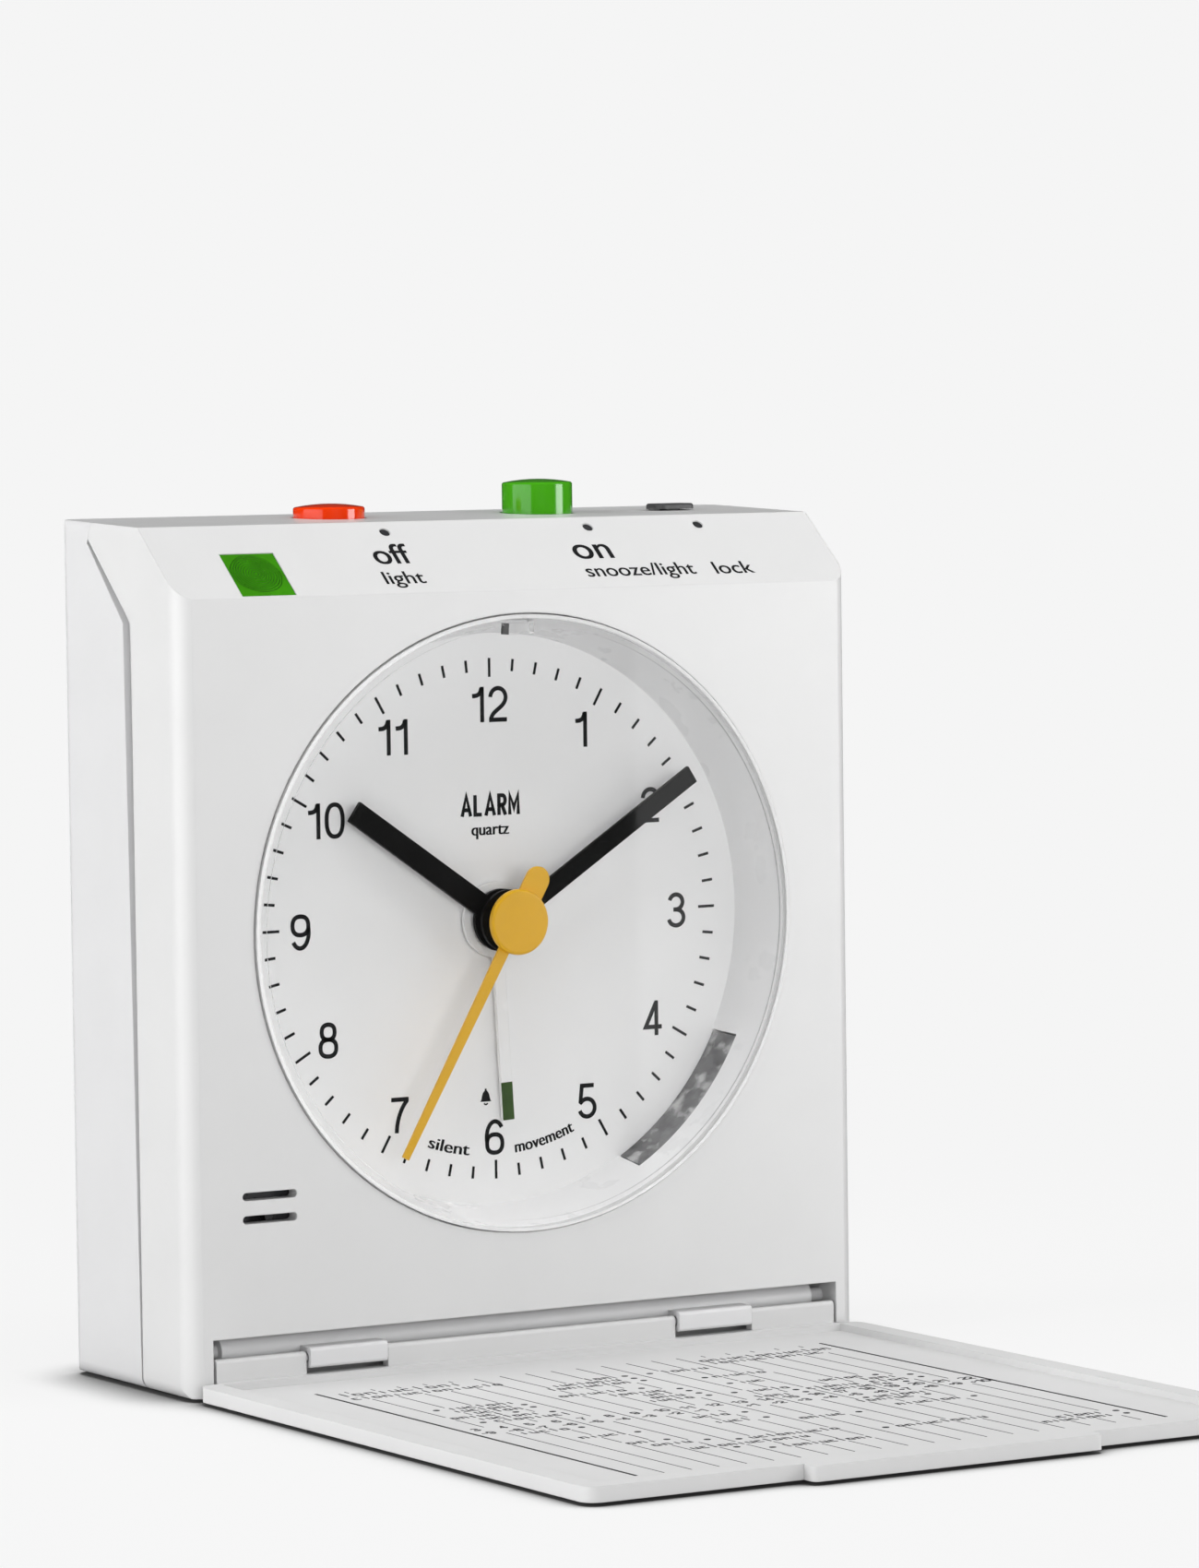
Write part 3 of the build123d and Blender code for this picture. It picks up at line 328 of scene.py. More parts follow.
def surface(name, colour, rough, mottle=0.03, mottle_mm=9.0, rough_spread=0.05, grain_mm=0.22,
            grain_um=1.6, round_mm=0.0, patch=None, **sockets):
    """Node material: mottled colour, uneven gloss, fine grain and softened edges.

    patch is (second colour, feature size, share) for larger stains or streaks, or for painted glints as on
    the light guide; sockets are constants of the shader, such as Metallic or IOR, with _ for a space.
    """
    material = bpy.data.materials.new(name)
    material.use_nodes = True
    tree = material.node_tree
    shader = tree.nodes["Principled BSDF"]
    for key, value in sockets.items():
        shader.inputs[key.replace("_", " ")].default_value = value
    base = blend_colours(tree, spread(tree, noise(tree, mottle_mm, 4.0), 0.0, 1.0),
                         shade(colour, 1 - mottle), shade(colour, 1 + mottle))
    if patch:
        second, size_mm, share = patch
        mask = spread(tree, noise(tree, size_mm, 6.0), 0.0, share, PATCH_FROM, PATCH_TO)
        base = blend_colours(tree, mask, base, second)
    tree.links.new(base, shader.inputs["Base Color"])
    tree.links.new(spread(tree, noise(tree, mottle_mm * GLOSS_SCALE, 5.0), rough - rough_spread,
                          rough + rough_spread), shader.inputs["Roughness"])
    bump = node_of(tree, "ShaderNodeBump")
    bump.inputs["Strength"].default_value = 1.0
    bump.inputs["Distance"].default_value = grain_um * MICRON
    tree.links.new(noise(tree, grain_mm, 2.0), bump.inputs["Height"])
    if round_mm:
        soft = node_of(tree, "ShaderNodeBevel", samples=4)
        soft.inputs["Radius"].default_value = round_mm * MM
        tree.links.new(soft.outputs["Normal"], bump.inputs["Normal"])
    tree.links.new(bump.outputs["Normal"], shader.inputs["Normal"])
    return material


CLEAR_IOR = 1.49
CLEAR_GRAIN_UM, CLEAR_GRAIN_MM = 0.4, 3.0
THROUGH_LIFT = 1.02             # lamp light passes slightly brighter than the tint
# radii, share and tone of the pale band painted on the crystal's rim as a highlight
RIM_INNER, RIM_OUTER = 29.4, 29.55
RIM_HIGHLIGHT_SHARE, RIM_HIGHLIGHT_TONE = 0.5, 0.86


def clear_plastic(name, tint, rough, rim=None):
    """Clear moulded plastic that lets lamp light through to what lies behind it.

    rim is (centre height, inner radius, outer radius) of a pale edge band, a painted highlight where the
    crystal's edge catches the light.
    """
    material = surface(name, tint, rough, mottle=0.01, rough_spread=rough * 0.5,
                       grain_mm=CLEAR_GRAIN_MM, grain_um=CLEAR_GRAIN_UM, Transmission_Weight=1.0,
                       IOR=CLEAR_IOR)
    tree = material.node_tree
    shader = tree.nodes["Principled BSDF"]
    output = tree.nodes["Material Output"]
    path = node_of(tree, "ShaderNodeLightPath")
    through = node_of(tree, "ShaderNodeBsdfTransparent")
    through.inputs["Color"].default_value = (*shade(tint, THROUGH_LIFT), 1.0)
    surface_out = blend_shaders(tree, path.outputs["Is Shadow Ray"], shader.outputs["BSDF"],
                                through.outputs["BSDF"])
    # painted highlight: a pale matt band mixed in near the crystal's edge, where its rim catches the light
    if rim:
        centre_z, inner, outer = rim
        coords = node_of(tree, "ShaderNodeTexCoord")
        offset = node_of(tree, "ShaderNodeVectorMath", operation="SUBTRACT")
        offset.inputs[1].default_value = (0, 0, centre_z * MM)
        flat = node_of(tree, "ShaderNodeVectorMath", operation="MULTIPLY")
        flat.inputs[1].default_value = (1, 0, 1)
        reach = node_of(tree, "ShaderNodeVectorMath", operation="LENGTH")
        tree.links.new(coords.outputs["Object"], offset.inputs[0])
        tree.links.new(offset.outputs[0], flat.inputs[0])
        tree.links.new(flat.outputs[0], reach.inputs[0])
        band = spread(tree, reach.outputs["Value"], 0.0, RIM_HIGHLIGHT_SHARE, inner * MM, outer * MM)
        pale = node_of(tree, "ShaderNodeBsdfDiffuse")
        pale.inputs["Color"].default_value = (RIM_HIGHLIGHT_TONE, RIM_HIGHLIGHT_TONE, RIM_HIGHLIGHT_TONE, 1)
        surface_out = blend_shaders(tree, band, surface_out, pale.outputs[0])
    tree.links.new(surface_out, output.inputs["Surface"])
    return material


WHITE = (0.58, 0.58, 0.58)
BLACK_INK = surface("ink_black", (0.012, 0.012, 0.013), 0.5, mottle=0.25, mottle_mm=1.5,
                    grain_mm=0.08, grain_um=0.8, Specular_IOR_Level=0.08)
GREY_INK = surface("ink_grey", (0.03, 0.03, 0.032), 0.5, mottle=0.2, mottle_mm=1.5,
                   grain_mm=0.08, grain_um=0.8, Specular_IOR_Level=0.08)
THIN_INK = surface("ink_thin", (0.10, 0.10, 0.105), 0.55, mottle=0.25, mottle_mm=1.0,
                   grain_mm=0.08, grain_um=0.8, Specular_IOR_Level=0.1)
# darker green of the sensor window's moulded rings: painted shade in their grooves
GROOVE_SHADE_GREEN = surface("window_groove_shade", (0.006, 0.055, 0.001), 0.3, mottle=0.2, mottle_mm=1.0)
GREEN_INK = surface("ink_green", (0.024, 0.070, 0.002), 0.45, mottle=0.15, mottle_mm=1.0,
                    grain_mm=0.08, grain_um=0.8)

MATERIALS = {
    "white_case": surface("case_white", WHITE, 0.32, mottle=0.012, rough_spread=0.012, round_mm=0.18,
                          IOR=1.5),
    "white_back": surface("back_white", (0.57, 0.57, 0.575), 0.36, mottle=0.015, rough_spread=0.015,
                          round_mm=0.15, grain_um=2.4, grain_mm=0.3, IOR=1.5),
    "white_lid": surface("lid_white", (0.57, 0.57, 0.57), 0.60, mottle=0.015, rough_spread=0.02,
                         round_mm=0.12, Specular_IOR_Level=0.03),
    "hinge_white": surface("hinge_white", (0.60, 0.60, 0.605), 0.34, mottle=0.02, round_mm=0.08,
                           IOR=1.5),
    "crystal_clear": clear_plastic("crystal_clear", (0.99, 0.993, 0.993), 0.02,
                                   rim=(DIAL_Z, RIM_INNER, RIM_OUTER)),
    "ring_white": surface("ring_white", (0.86, 0.86, 0.865), 0.30, mottle=0.012, IOR=1.5),
    # the pale patches in the light guide's colour are painted glints from its facets; its coarse bump is
    # real relief
    "guide_clear": surface("guide_clear", (0.17, 0.17, 0.175), 0.10, mottle=0.5, mottle_mm=1.7,
                           grain_mm=2.4, grain_um=170.0, patch=((0.80, 0.80, 0.80), 1.9, 0.75),
                           Transmission_Weight=0.3, IOR=CLEAR_IOR, Coat_Weight=0.3),
    "lamp_glass": clear_plastic("lamp_glass", (0.9, 0.9, 0.85), 0.06),
    "dial_white": surface("dial_white", (0.95, 0.95, 0.95), 0.6, mottle=0.008, grain_mm=0.1,
                          grain_um=0.8, Specular_IOR_Level=0.1),
    "hand_black": surface("hand_black", (0.004, 0.004, 0.004), 0.45, mottle=0.3, grain_mm=0.12,
                          round_mm=0.05, Specular_IOR_Level=0.06),
    "hand_yellow": surface("hand_yellow", (0.80, 0.44, 0.008), 0.36, mottle=0.03, grain_mm=0.12,
                           IOR=1.5),
    "hand_alarm": surface("hand_alarm", (0.97, 0.97, 0.97), 0.25, mottle=0.01, round_mm=0.1, IOR=1.5),
    "gear_resin": surface("gear_resin", (0.74, 0.72, 0.66), 0.42, mottle=0.05, mottle_mm=3.0),
    "brass_parts": surface("brass_parts", (0.72, 0.52, 0.20), 0.28, mottle=0.08, mottle_mm=2.0,
                           grain_mm=0.06, patch=((0.42, 0.27, 0.10), 1.4, 0.4), Metallic=1.0),
    "magnet": surface("magnet", (0.05, 0.05, 0.052), 0.45, mottle=0.2, mottle_mm=1.0,
                      patch=((0.14, 0.13, 0.12), 0.8, 0.5)),
    "knob_grey": surface("knob_grey", (0.16, 0.16, 0.165), 0.45, mottle=0.06, mottle_mm=2.5,
                         grain_mm=0.16, grain_um=3.0, round_mm=0.08),
    "movement_resin": surface("movement_resin", (0.035, 0.035, 0.037), 0.5, mottle=0.15,
                              mottle_mm=4.0, grain_mm=0.18, grain_um=3.0),
    "steel_parts": surface("steel_parts", (0.60, 0.60, 0.61), 0.30, mottle=0.06, mottle_mm=2.0,
                           grain_mm=0.07, patch=((0.33, 0.32, 0.31), 1.1, 0.35), Metallic=1.0),
    "copper_wire": surface("copper_wire", (0.55, 0.20, 0.07), 0.3, mottle=0.15, mottle_mm=0.6,
                           grain_mm=0.09, grain_um=12.0, Metallic=1.0),
    "board_green": surface("board_green", (0.012, 0.10, 0.035), 0.32, mottle=0.15, mottle_mm=2.0,
                           patch=((0.02, 0.17, 0.06), 2.6, 0.8)),
    "chip_black": surface("chip_black", (0.014, 0.014, 0.014), 0.34, mottle=0.3, mottle_mm=1.5),
    "can_metal": surface("can_metal", (0.66, 0.66, 0.68), 0.22, mottle=0.05, mottle_mm=1.5,
                         patch=((0.4, 0.4, 0.4), 0.9, 0.3), Metallic=1.0),
    "window_green": surface("window_green", (0.034, 0.205, 0.003), 0.16, mottle=0.18, mottle_mm=2.2,
                            grain_mm=0.5, grain_um=1.5, Coat_Weight=0.4, IOR=1.5),
    "sensor_black": surface("sensor_black", (0.02, 0.02, 0.022), 0.3, mottle=0.2, mottle_mm=1.0),
    "battery_wrap": surface("battery_wrap", (0.10, 0.12, 0.14), 0.28, mottle=0.2, mottle_mm=5.0,
                            patch=((0.30, 0.30, 0.31), 7.0, 0.7), Metallic=0.4),
    "button_green": surface("button_green", (0.045, 0.285, 0.006), 0.10, mottle=0.03, mottle_mm=3.0,
                            grain_mm=0.3, grain_um=0.8, round_mm=0.1, IOR=1.5, Coat_Weight=0.2),
    "button_red": surface("button_red", (0.70, 0.034, 0.001), 0.10, mottle=0.03, mottle_mm=3.0,
                          grain_mm=0.3, grain_um=0.8, round_mm=0.1, IOR=1.5, Coat_Weight=0.2),
    "slider_grey": surface("slider_grey", (0.055, 0.055, 0.057), 0.42, mottle=0.12, mottle_mm=1.5,
                           grain_mm=0.14, grain_um=3.0, round_mm=0.08),
}

for part in frame["record"]["subparts"]:
    node = NODES[part["node"]]
    if not node.material_slots:
        node.data.materials.append(None)
    for mesh_slot in node.material_slots:
        mesh_slot.material = MATERIALS[part["material_slot"]]

# ---------------------------------------------------------------- dial print
NUMERAL_HEIGHT = 3.45
NUMERAL_WEIGHT = 0.062          # half a stroke's width, for a numeral one unit tall
NUMERAL_PITCH, ELEVEN_PITCH = 0.62, 0.55
NUMERAL_RING = 21.15            # radius of the even ring that the numerals stand on
NUMERAL_RING_RIGHT, NUMERAL_RING_UP = -0.13, -0.21      # its centre: a little left and low on the dial
HOUR_MARK = (23.6, 25.45)       # inner and outer radius
MINUTE_MARK = (24.2, 25.4)
MARK_HALF = 0.135
SMALL_WORD = 1.25               # height of a tall letter in the dial's small words
EDGE_WORD_RADIUS = 23.15
BELL_RIGHT, BELL_UP = -1.05, -17.4
TIP_INNER, TIP_OUTER, TIP_HALF = 16.0, 19.7, 0.63

bm = bmesh.new()
for hour in (12, *range(1, 12)):
    turn = radians(30 * hour)
    add_number(bm, str(hour), NUMERAL_RING_RIGHT + NUMERAL_RING * sin(turn),
               NUMERAL_RING_UP + NUMERAL_RING * cos(turn), NUMERAL_HEIGHT, on_dial,
               weight=NUMERAL_WEIGHT, pitch=ELEVEN_PITCH if hour == 11 else NUMERAL_PITCH)
new_piece("dial_numerals", bm, "case", BLACK_INK)

bm = bmesh.new()
for minute in range(60):
    turn = radians(6 * minute)
    inner, outer = HOUR_MARK if minute % 5 == 0 else MINUTE_MARK
    corners = [(inner, -MARK_HALF), (outer, -MARK_HALF), (outer, MARK_HALF), (inner, MARK_HALF)]
    outline = [(r * sin(turn) + w * cos(turn), r * cos(turn) - w * sin(turn)) for r, w in corners]
    add_slab(bm, outline, on_dial)
new_piece("dial_minute_marks", bm, "case", BLACK_INK)


def around_dial(middle_deg, radius):
    """Placing for a word that follows the dial's edge, its letters standing towards the centre."""
    def place(u, v, h):
        turn = radians(middle_deg) - u / radius
        return on_dial((radius - v) * sin(turn), (radius - v) * cos(turn), h)
    return place


bm = bmesh.new()
add_capitals(bm, "ALARM", left=-3.45, right=3.25, base=10.1, height=2.05, place=on_dial, weight=0.19)
add_word(bm, "quartz", left=-2.2, right=1.95, base=8.23, ascent=SMALL_WORD, place=on_dial)
add_word(bm, "silent", left=-2.35, right=2.35, base=0, ascent=SMALL_WORD,
         place=around_dial(193.4, EDGE_WORD_RADIUS))
add_word(bm, "movement", left=-3.45, right=3.45, base=0, ascent=SMALL_WORD,
         place=around_dial(165.9, EDGE_WORD_RADIUS))
new_piece("dial_words", bm, "case", BLACK_INK)


def bell_part(points):
    """Points of the small bell beside the alarm hand's tip, drawn around its own middle."""
    return [(x + BELL_RIGHT, y + BELL_UP) for x, y in points]


bm = bmesh.new()
bell = bezier((-0.62, -0.42), (-0.36, -0.2), (-0.5, 0.62), (0, 0.66), 8)
bell += [(-x, y) for x, y in reversed(bell[:-1])]
clapper = arc(0, -0.5, 0.2, 0.22, 200, 340, 6)
stem = [(0, 0.64), (0, 0.85)]
add_slab(bm, bell_part(reversed(bell)), on_dial)
add_stroke(bm, bell_part(clapper), 0.07, on_dial)
add_stroke(bm, bell_part(stem), 0.1, on_dial)
new_piece("dial_bell_mark", bm, "case", BLACK_INK)

bm = bmesh.new()
tip = [(TIP_INNER, -TIP_HALF), (TIP_OUTER, -TIP_HALF), (TIP_OUTER, TIP_HALF), (TIP_INNER, TIP_HALF)]
add_slab(bm, tip, on_alarm_hand)
new_piece("alarm_hand_tip", bm, "alarm", GREEN_INK)

# ---------------------------------------------------------------- labels on the sloping strip
LABEL_ASCENT, LABEL_BOLD = 1.9, 0.025
DIMPLES_X = (-11.4, 11.4, 24.1)
DIMPLE_UP, DOT_RADIUS = 8.9, 0.53
DOT_LOW, DOT_HIGH = -0.19, -0.12
WINDOW_RIGHT, WINDOW_UP = -27.7, 3.45
RING_COUNT, RING_PITCH, RING_HALF = 10, 0.255, 0.045
RING_LOW, RING_HIGH = -0.08, -0.045
RING_POINTS = 64

bm = bmesh.new()
add_word(bm, "off", left=-14.15, right=-10.15, base=4.3, ascent=3.05, place=on_chamfer)
add_word(bm, "on", left=8.1, right=12.3, base=4.25, ascent=3.35, place=on_chamfer)
add_word(bm, "light", left=-14.4, right=-10.05, base=1.4, ascent=LABEL_ASCENT, place=on_chamfer,
         bold=LABEL_BOLD)
add_word(bm, "snooze/light", left=8.15, right=20.5, base=1.6, ascent=LABEL_ASCENT, place=on_chamfer,
         bold=LABEL_BOLD)
add_word(bm, "lock", left=22.8, right=27.2, base=1.5, ascent=LABEL_ASCENT, place=on_chamfer,
         bold=LABEL_BOLD)
new_piece("button_labels", bm, "case", BLACK_INK)

bm = bmesh.new()
for dimple_x in DIMPLES_X:
    dot = loop(dimple_x, DIMPLE_UP, DOT_RADIUS, DOT_RADIUS, power=2.0, steps=20)
    add_slab(bm, dot, on_chamfer, DOT_LOW, DOT_HIGH)
new_piece("dimple_dots", bm, "case", GREY_INK)

# ---------------------------------------------------------------- fine rings moulded in the sensor window, drawn in darker green: painted shade in their grooves
bm = bmesh.new()
for ring in range(1, RING_COUNT + 1):
    points = []
    for i in range(RING_POINTS):
        turn = 2 * pi * i / RING_POINTS
        wobble = 0.02 * sin(3 * turn + ring) + 0.012 * sin(7 * turn + 2 * ring)
        radius = RING_PITCH * ring + wobble
        points.append((WINDOW_RIGHT + radius * cos(turn), WINDOW_UP + radius * sin(turn)))
    add_stroke(bm, points, RING_HALF, on_chamfer, True, RING_LOW, RING_HIGH)
new_piece("window_rings", bm, "case", GROOVE_SHADE_GREEN)

# ---------------------------------------------------------------- table printed inside the lid
COLUMN = 2.82
FIRST_COLUMN = -28.2
COLUMN_COUNT = 20
LINE_FAR, LINE_NEAR = -8.0, -65.2
BORDER_HALF, THIN_HALF, LETTER_HALF = 0.15, 0.055, 0.088
BORDER_REACH = 0.5              # the border lines start this far beyond the thin ones
# Rows as (depth, [(word start, word end)], [dots]), read off a straightened view of the lid;
# the printed words follow no even spacing.
TABLE_ROWS = [
    (-14.8, [(-3.1, -0.3), (5.45, 10.65)], [1.3, 4.1]),
    (-16.5, [(-7.8, -0.2)], [1.3]),
    (-18.25, [(-9.2, -0.2)], [1.3]),
    (-20.15, [(7.8, 13.8)], [6.95]),
    (-22.35, [(-10.45, -3.1)], [-1.45]),
    (-22.9, [(-22.8, -15.55)], [-23.95]),
    (-24.6, [(-23.15, -16.7), (-6.3, -0.2), (7.95, 10.8)], [-15.55, 1.4, 6.95]),
    (-26.25, [(-21.85, -16.7), (-3.6, -0.2)], [-15.55, 1.4]),
    (-28.0, [(-25.35, -19.7), (-3.85, -0.2), (14.8, 19.55)], [-18.45, 1.4, 21.15]),
    (-29.75, [(-23.55, -16.95), (-5.2, -0.2), (5.45, 10.3), (18.3, 22.4)], [-15.55, 1.4, 4.2, 23.95]),
    (-31.6, [(-22.8, -14.6), (11.05, 16.8), (18.15, 22.4)], [-24.0, 9.85, 23.95]),
    (-33.25, [(4.3, 8.3), (11.8, 19.55)], [9.9, 21.15]),
    (-39.25, [(-24.7, -19.35)], [-18.15]),
    (-39.5, [(13.45, 19.3)], [12.5]),
    (-40.35, [(-6.95, -2.95)], [-1.35]),
    (-41.0, [(10.55, 16.8)], [18.4]),
    (-44.0, [(-6.95, -2.95)], [-1.35]),
    (-44.5, [(-21.55, -16.45), (12.5, 19.55)], [-15.4, 21.2]),
    (-46.35, [(0.75, 5.65)], [7.2]),
    (-49.75, [(-19.8, -16.55)], [-15.55]),
    (-51.9, [(-18.45, -14.2)], [-12.65]),
    (-53.25, [(-9.05, 0.55)], [-10.15]),
    (-55.4, [(-16.55, -4.05), (5.3, 15.2)], [4.15]),
    (-57.0, [], [-12.75]),
    (-59.0, [(-9.05, 0.4)], [-10.25]),
    (-59.5, [(20.05, 25.1)], [26.65]),
    (-61.25, [(17.3, 25.1)], [26.6]),
]
ROW_WORD_DROP, ROW_WORD_HEIGHT = 0.55, 1.5
ROW_DOT_RADIUS = 0.33
HOURS_ROW, OFFSET_ROW = -35.0, -37.2
HOUR_HEIGHT = 1.25
FIRST_HOUR, HOME_COLUMN = 3, 9  # the hour over the first column, and the column without an offset
ROW_HALF = 0.95                 # a thin line breaks off this far before and after print in its way
WORD_MARGIN = 0.3               # a line that passes this near a word counts as crossing it
SHORTEST_LINE = 0.4
TITLE_FAR, TITLE_NEAR = -8.8, -13.4
TITLE_LEFT_END, TITLE_RIGHT_START = 6, 14

bm = bmesh.new()
for side in (0, COLUMN_COUNT):
    x = FIRST_COLUMN + side * COLUMN
    add_stroke(bm, [(x, LINE_FAR + BORDER_REACH), (x, LINE_NEAR)], BORDER_HALF, on_lid)
new_piece("lid_border_lines", bm, "front_lid", BLACK_INK)

bm = bmesh.new()
for column in range(1, COLUMN_COUNT):
    x = FIRST_COLUMN + column * COLUMN
    blocks = [(depth + ROW_HALF, depth - ROW_HALF) for depth, spans, dots in TABLE_ROWS
              if any(a - WORD_MARGIN < x < b + WORD_MARGIN for a, b in spans)]
    if column % 2:
        blocks.append((HOURS_ROW + ROW_HALF, OFFSET_ROW - ROW_HALF))
    if column < TITLE_LEFT_END or column > TITLE_RIGHT_START:
        blocks.append((TITLE_FAR, TITLE_NEAR))
    start = LINE_FAR
    for far, near in sorted(blocks, reverse=True) + [(LINE_NEAR, LINE_NEAR)]:
        if start - far > SHORTEST_LINE:
            add_stroke(bm, [(x, start), (x, far)], THIN_HALF, on_lid)
        start = min(start, near)
new_piece("lid_thin_lines", bm, "front_lid", THIN_INK)

# greeked words: bars and arches stand for letters, and spell nothing
LETTER_FORMS = [
    [((0.1, 0.0), (0.1, 0.62)), ((0.42, 0.0), (0.42, 0.55)), ((0.1, 0.57), (0.42, 0.57))],
    [((0.08, 0.06), (0.42, 0.06)), ((0.08, 0.06), (0.08, 0.56)), ((0.42, 0.06), (0.42, 0.56)),
     ((0.08, 0.56), (0.42, 0.56))],
    [((0.25, 0.0), (0.25, 0.92))],
    [((0.42, 0.56), (0.08, 0.56)), ((0.08, 0.56), (0.08, 0.06)), ((0.08, 0.06), (0.42, 0.06))],
    [((0.1, 0.62), (0.1, 0.05)), ((0.1, 0.06), (0.42, 0.06)), ((0.42, 0.0), (0.42, 0.62))],
    [((0.25, 0.0), (0.25, 0.62))],
]


GREEKED_PITCH, GREEKED_STRETCH = 0.66, 1.7


def add_greeked(bm, left, right, base, height):
    """A row of letter-like forms between two u limits; a fixed rule varies their order from row to row."""
    count = max(3, round((right - left) / (GREEKED_PITCH * height)))
    step = (right - left) / count
    for index in range(count):
        form = LETTER_FORMS[(index * 5 + count * 3 + int(-base * 7)) % len(LETTER_FORMS)]
        for ends in form:
            points = [(left + (index + x * GREEKED_STRETCH) * step, base + y * height) for x, y in ends]
            add_stroke(bm, points, LETTER_HALF, on_lid)


bm = bmesh.new()
for depth, spans, dots in TABLE_ROWS:
    for left, right in spans:
        add_greeked(bm, left, right, depth - ROW_WORD_DROP, ROW_WORD_HEIGHT)
    for x in dots:
        add_slab(bm, loop(x, depth, ROW_DOT_RADIUS, ROW_DOT_RADIUS, power=2.0, steps=14), on_lid)
add_greeked(bm, left=-27.0, right=-13.8, base=-10.7, height=2.0)
add_greeked(bm, left=-27.0, right=-10.7, base=-12.9, height=1.6)
add_greeked(bm, left=12.2, right=27.2, base=-11.4, height=1.6)
add_greeked(bm, left=12.2, right=25.2, base=-13.2, height=1.6)
new_piece("lid_words_and_dots", bm, "front_lid", BLACK_INK)

bm = bmesh.new()
for column in range(COLUMN_COUNT):
    x = FIRST_COLUMN + (column + 0.5) * COLUMN
    hour = column + FIRST_HOUR
    add_number(bm, str(hour), x, HOURS_ROW, HOUR_HEIGHT, on_lid, weight=0.07, pitch=0.62)
    if column != HOME_COLUMN:
        offset = f"{column - HOME_COLUMN:+d}"
        add_number(bm, offset, x, OFFSET_ROW, HOUR_HEIGHT, on_lid, weight=0.07, pitch=0.6)
new_piece("lid_hour_numbers", bm, "front_lid", GREY_INK)

# ---------------------------------------------------------------- floor, world and light
BACKDROP = 0.913                # value of the plain pale surroundings
CONTACT_M = 0.009               # how far the painted contact shadow reaches
FLOOR_GAP_M = 0.00035           # dark joint under the clock
FLOOR_RINGS_M = (0.05, 0.1, 0.2, 0.4, 0.8, 2.0, 6.0, 40.0)
FLOOR_SIDES = 64
FLOOR_MIDDLE_Y_M = -0.03        # roughly under the middle of the clock and its open lid
FLOOR_TONE = 0.85
# darkest value of the contact shadow painted into the floor's glow
DARKEST_PAINTED_SHADOW = 0.01
CLOSED_SKY, OPEN_SKY = 0.42, 0.90           # occlusion at which the painted shadow is at its darkest and at which it has faded out
EVEN_NEAR, EVEN_FAR = 0.90, 1.0             # share of the glow, which carries the painted contact shadow, near the clock and further out
EVEN_NEAR_M, EVEN_FAR_M = 0.06, 0.30        # the distances between which it grows
FILL_FRONT, FILL_BEHIND, FILL_MIRRORED = 0.17, 0.05, 0.035
FILL_TURNS = (-0.35, 0.25)      # y of the directions between which the front fill fades to the one behind


def seen_in_gloss(tree):
    """1 for a mirrored or transmitted ray that hasn't met a matt surface yet, otherwise 0."""
    path = node_of(tree, "ShaderNodeLightPath")
    sharp = node_of(tree, "ShaderNodeMath", operation="MAXIMUM")
    tree.links.new(path.outputs["Is Glossy Ray"], sharp.inputs[0])
    tree.links.new(path.outputs["Is Transmission Ray"], sharp.inputs[1])
    unbounced = node_of(tree, "ShaderNodeMath", operation="LESS_THAN")
    tree.links.new(path.outputs["Diffuse Depth"], unbounced.inputs[0])
    first = node_of(tree, "ShaderNodeMath", operation="MULTIPLY")
    tree.links.new(sharp.outputs["Value"], first.inputs[0])
    tree.links.new(unbounced.outputs["Value"], first.inputs[1])
    return first.outputs["Value"]


def make_floor():
    """Wide pale floor: near the clock its glow is darkened by occlusion into a painted contact shadow, and
    a small share of it takes real shadows; further out it fades to an even tone.

    It lights the dial through the crystal, but doesn't haze the hands by showing in it.
    """
    bm = bmesh.new()
    previous = None
    turns = [2 * pi * i / FLOOR_SIDES for i in range(FLOOR_SIDES)]
    for radius in FLOOR_RINGS_M:
        row = [bm.verts.new((radius * cos(turn), radius * sin(turn), 0)) for turn in turns]
        if previous is None:
            bm.faces.new(row)
        else:
            for i in range(FLOOR_SIDES):
                j = (i + 1) % FLOOR_SIDES
                bm.faces.new((previous[i], row[i], row[j], previous[j]))
        previous = row
    mesh = bpy.data.meshes.new("floor")
    bm.to_mesh(mesh)
    bm.free()
    floor = bpy.data.objects.new("floor", mesh)
    bpy.context.scene.collection.objects.link(floor)
    floor.location = (0, FLOOR_MIDDLE_Y_M, -FLOOR_GAP_M)
    floor.visible_glossy = False
    material = bpy.data.materials.new("floor_pale")
    material.use_nodes = True
    tree = material.node_tree
    tree.nodes.clear()
    output = node_of(tree, "ShaderNodeOutputMaterial")
    diffuse = node_of(tree, "ShaderNodeBsdfDiffuse")
    diffuse.inputs["Color"].default_value = (FLOOR_TONE, FLOOR_TONE, FLOOR_TONE, 1)
    contact = node_of(tree, "ShaderNodeAmbientOcclusion", samples=12)
    contact.inputs["Distance"].default_value = CONTACT_M
    glow_with_painted_shadow = node_of(tree, "ShaderNodeEmission")
    # painted shadow: the glow's colour darkens where the clock closes off the sky above the floor
    level = spread(tree, contact.outputs["AO"], DARKEST_PAINTED_SHADOW, BACKDROP, CLOSED_SKY, OPEN_SKY)
    tree.links.new(grey(tree, level), glow_with_painted_shadow.inputs["Color"])
    coords = node_of(tree, "ShaderNodeTexCoord")
    length = node_of(tree, "ShaderNodeVectorMath", operation="LENGTH")
    tree.links.new(coords.outputs["Object"], length.inputs[0])
    even = spread(tree, length.outputs["Value"], EVEN_NEAR, EVEN_FAR, EVEN_NEAR_M, EVEN_FAR_M)
    seen = blend_shaders(tree, even, diffuse.outputs[0], glow_with_painted_shadow.outputs[0])
    clear = node_of(tree, "ShaderNodeBsdfTransparent")
    gated = blend_shaders(tree, seen_in_gloss(tree), seen, clear.outputs[0])
    tree.links.new(gated, output.inputs["Surface"])
    mesh.materials.append(material)


make_floor()


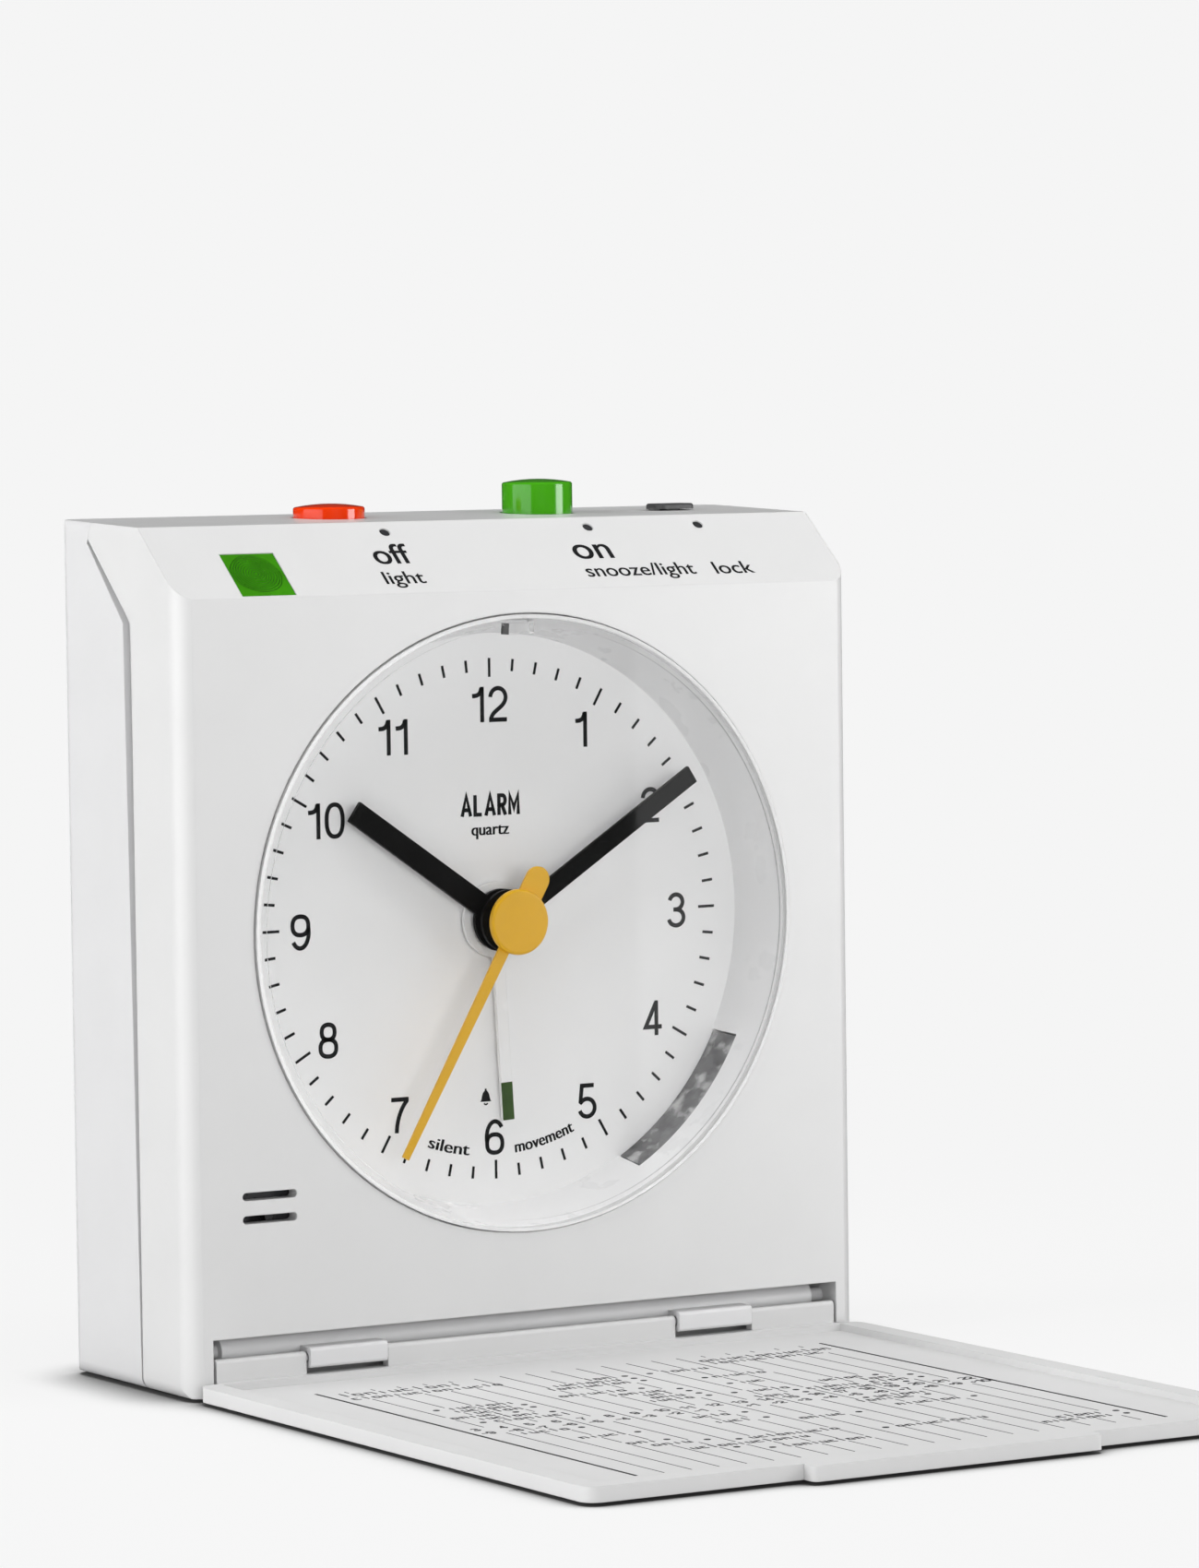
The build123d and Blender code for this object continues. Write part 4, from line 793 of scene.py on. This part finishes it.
def make_world():
    """Even pale surroundings to look at; the light they give is brighter in front than behind."""
    world = bpy.data.worlds.new("studio")
    bpy.context.scene.world = world
    world.use_nodes = True
    tree = world.node_tree
    tree.nodes.clear()
    output = node_of(tree, "ShaderNodeOutputWorld")
    seen = node_of(tree, "ShaderNodeBackground")
    seen.inputs["Color"].default_value = (BACKDROP, BACKDROP, BACKDROP, 1)
    lighting = node_of(tree, "ShaderNodeBackground")
    coords = node_of(tree, "ShaderNodeTexCoord")
    split = node_of(tree, "ShaderNodeSeparateXYZ")
    tree.links.new(coords.outputs["Generated"], split.inputs[0])
    level = spread(tree, split.outputs["Y"], FILL_FRONT, FILL_BEHIND, *FILL_TURNS)
    tree.links.new(grey(tree, level), lighting.inputs["Color"])
    mirrored = node_of(tree, "ShaderNodeBackground")
    mirrored.inputs["Color"].default_value = (FILL_MIRRORED, FILL_MIRRORED, FILL_MIRRORED, 1)
    path = node_of(tree, "ShaderNodeLightPath")
    light = blend_shaders(tree, seen_in_gloss(tree), lighting.outputs[0], mirrored.outputs[0])
    shown = blend_shaders(tree, path.outputs["Is Camera Ray"], light, seen.outputs[0])
    tree.links.new(shown, output.inputs["Surface"])


make_world()

LAMP_POWER = 4                  # watts for one square metre of lamp at a brightness of one


def area_light(name, location, target, width, height, brightness, diffuse, glossy):
    """Rectangular lamp facing its target; it is seen only by the kinds of ray that are asked for."""
    lamp = bpy.data.lights.new(name, "AREA")
    lamp.shape = "RECTANGLE"
    lamp.size, lamp.size_y = width, height
    lamp.energy = LAMP_POWER * width * height * brightness
    holder = bpy.data.objects.new(name, lamp)
    bpy.context.scene.collection.objects.link(holder)
    holder.location = location
    holder.rotation_euler = (Vector(target) - Vector(location)).to_track_quat("-Z", "Y").to_euler()
    holder.visible_camera = False
    holder.visible_diffuse = diffuse
    holder.visible_glossy = glossy
    holder.visible_transmission = False


def soft_box(name, start_deg, end_deg, low, high, brightness, distance=1.0, mirrored=False):
    """Upright panel around the clock, azimuths counted from the front to the right.

    A plain panel lights the surfaces; a mirrored one only shows as a sheen in glossy ones.
    """
    middle = radians((start_deg + end_deg) / 2)
    width = 2 * distance * tan(radians((end_deg - start_deg) / 2))
    height = (low + high) / 2
    location = (distance * sin(middle), -distance * cos(middle), height)
    area_light(name, location, (0, 0, height), width, high - low, brightness, not mirrored, mirrored)


# name, first and last azimuth, lower and upper edge, brightness
soft_box("right_box", 8, 75, 0.016, 0.55, 0.30)
soft_box("key", 32, 64, 0.08, 0.34, 3.4, distance=0.36)
soft_box("left_box", -118, -76, 0.016, 0.85, 4.7)
soft_box("front_fill", -30, 8, 0.0, 0.35, 3.4)
soft_box("back_fill", 150, 210, 0.0, 0.25, 5.0)
soft_box("right_sheen", 35.5, 62, -0.25, 0.4, 5.5, mirrored=True)
soft_box("left_sheen", -118, -50, -0.1, 0.5, 1.3, mirrored=True)
soft_box("crystal_sheen", 31.6, 35.5, -0.14, 0.1, 0.7, mirrored=True)
area_light("overhead", location=(0.0, -0.15, 0.95), target=(0, -0.03, 0), width=0.6, height=0.6,
           brightness=3.9, diffuse=True, glossy=False)

# ---------------------------------------------------------------- camera
CAMERA_AZIMUTH = radians(-31.06)
CAMERA_ELEVATION = radians(3.37)
CAMERA_ROLL = radians(-0.74)
CAMERA_DISTANCE = 647.34
CAMERA_TARGET = at(8.26, 0.0, 56.22)
CAMERA_LENS, CAMERA_SENSOR = 153.05, 36.0
back = Vector((sin(CAMERA_AZIMUTH) * cos(CAMERA_ELEVATION),
               -cos(CAMERA_AZIMUTH) * cos(CAMERA_ELEVATION), sin(CAMERA_ELEVATION)))
right = Vector((cos(CAMERA_AZIMUTH), sin(CAMERA_AZIMUTH), 0.0))
up = back.cross(right)
rolled_right = right * cos(CAMERA_ROLL) + up * sin(CAMERA_ROLL)
rolled_up = up * cos(CAMERA_ROLL) - right * sin(CAMERA_ROLL)
camera = bpy.data.cameras.new("camera")
camera.lens = CAMERA_LENS
camera.sensor_width = CAMERA_SENSOR
camera_holder = bpy.data.objects.new("camera", camera)
bpy.context.scene.collection.objects.link(camera_holder)
camera_holder.matrix_world = Matrix.Translation(CAMERA_TARGET + back * CAMERA_DISTANCE * MM) @ Matrix(
    (rolled_right, rolled_up, back)).transposed().to_4x4()
bpy.context.scene.camera = camera_holder
bpy.context.scene.view_settings.view_transform = "Standard"
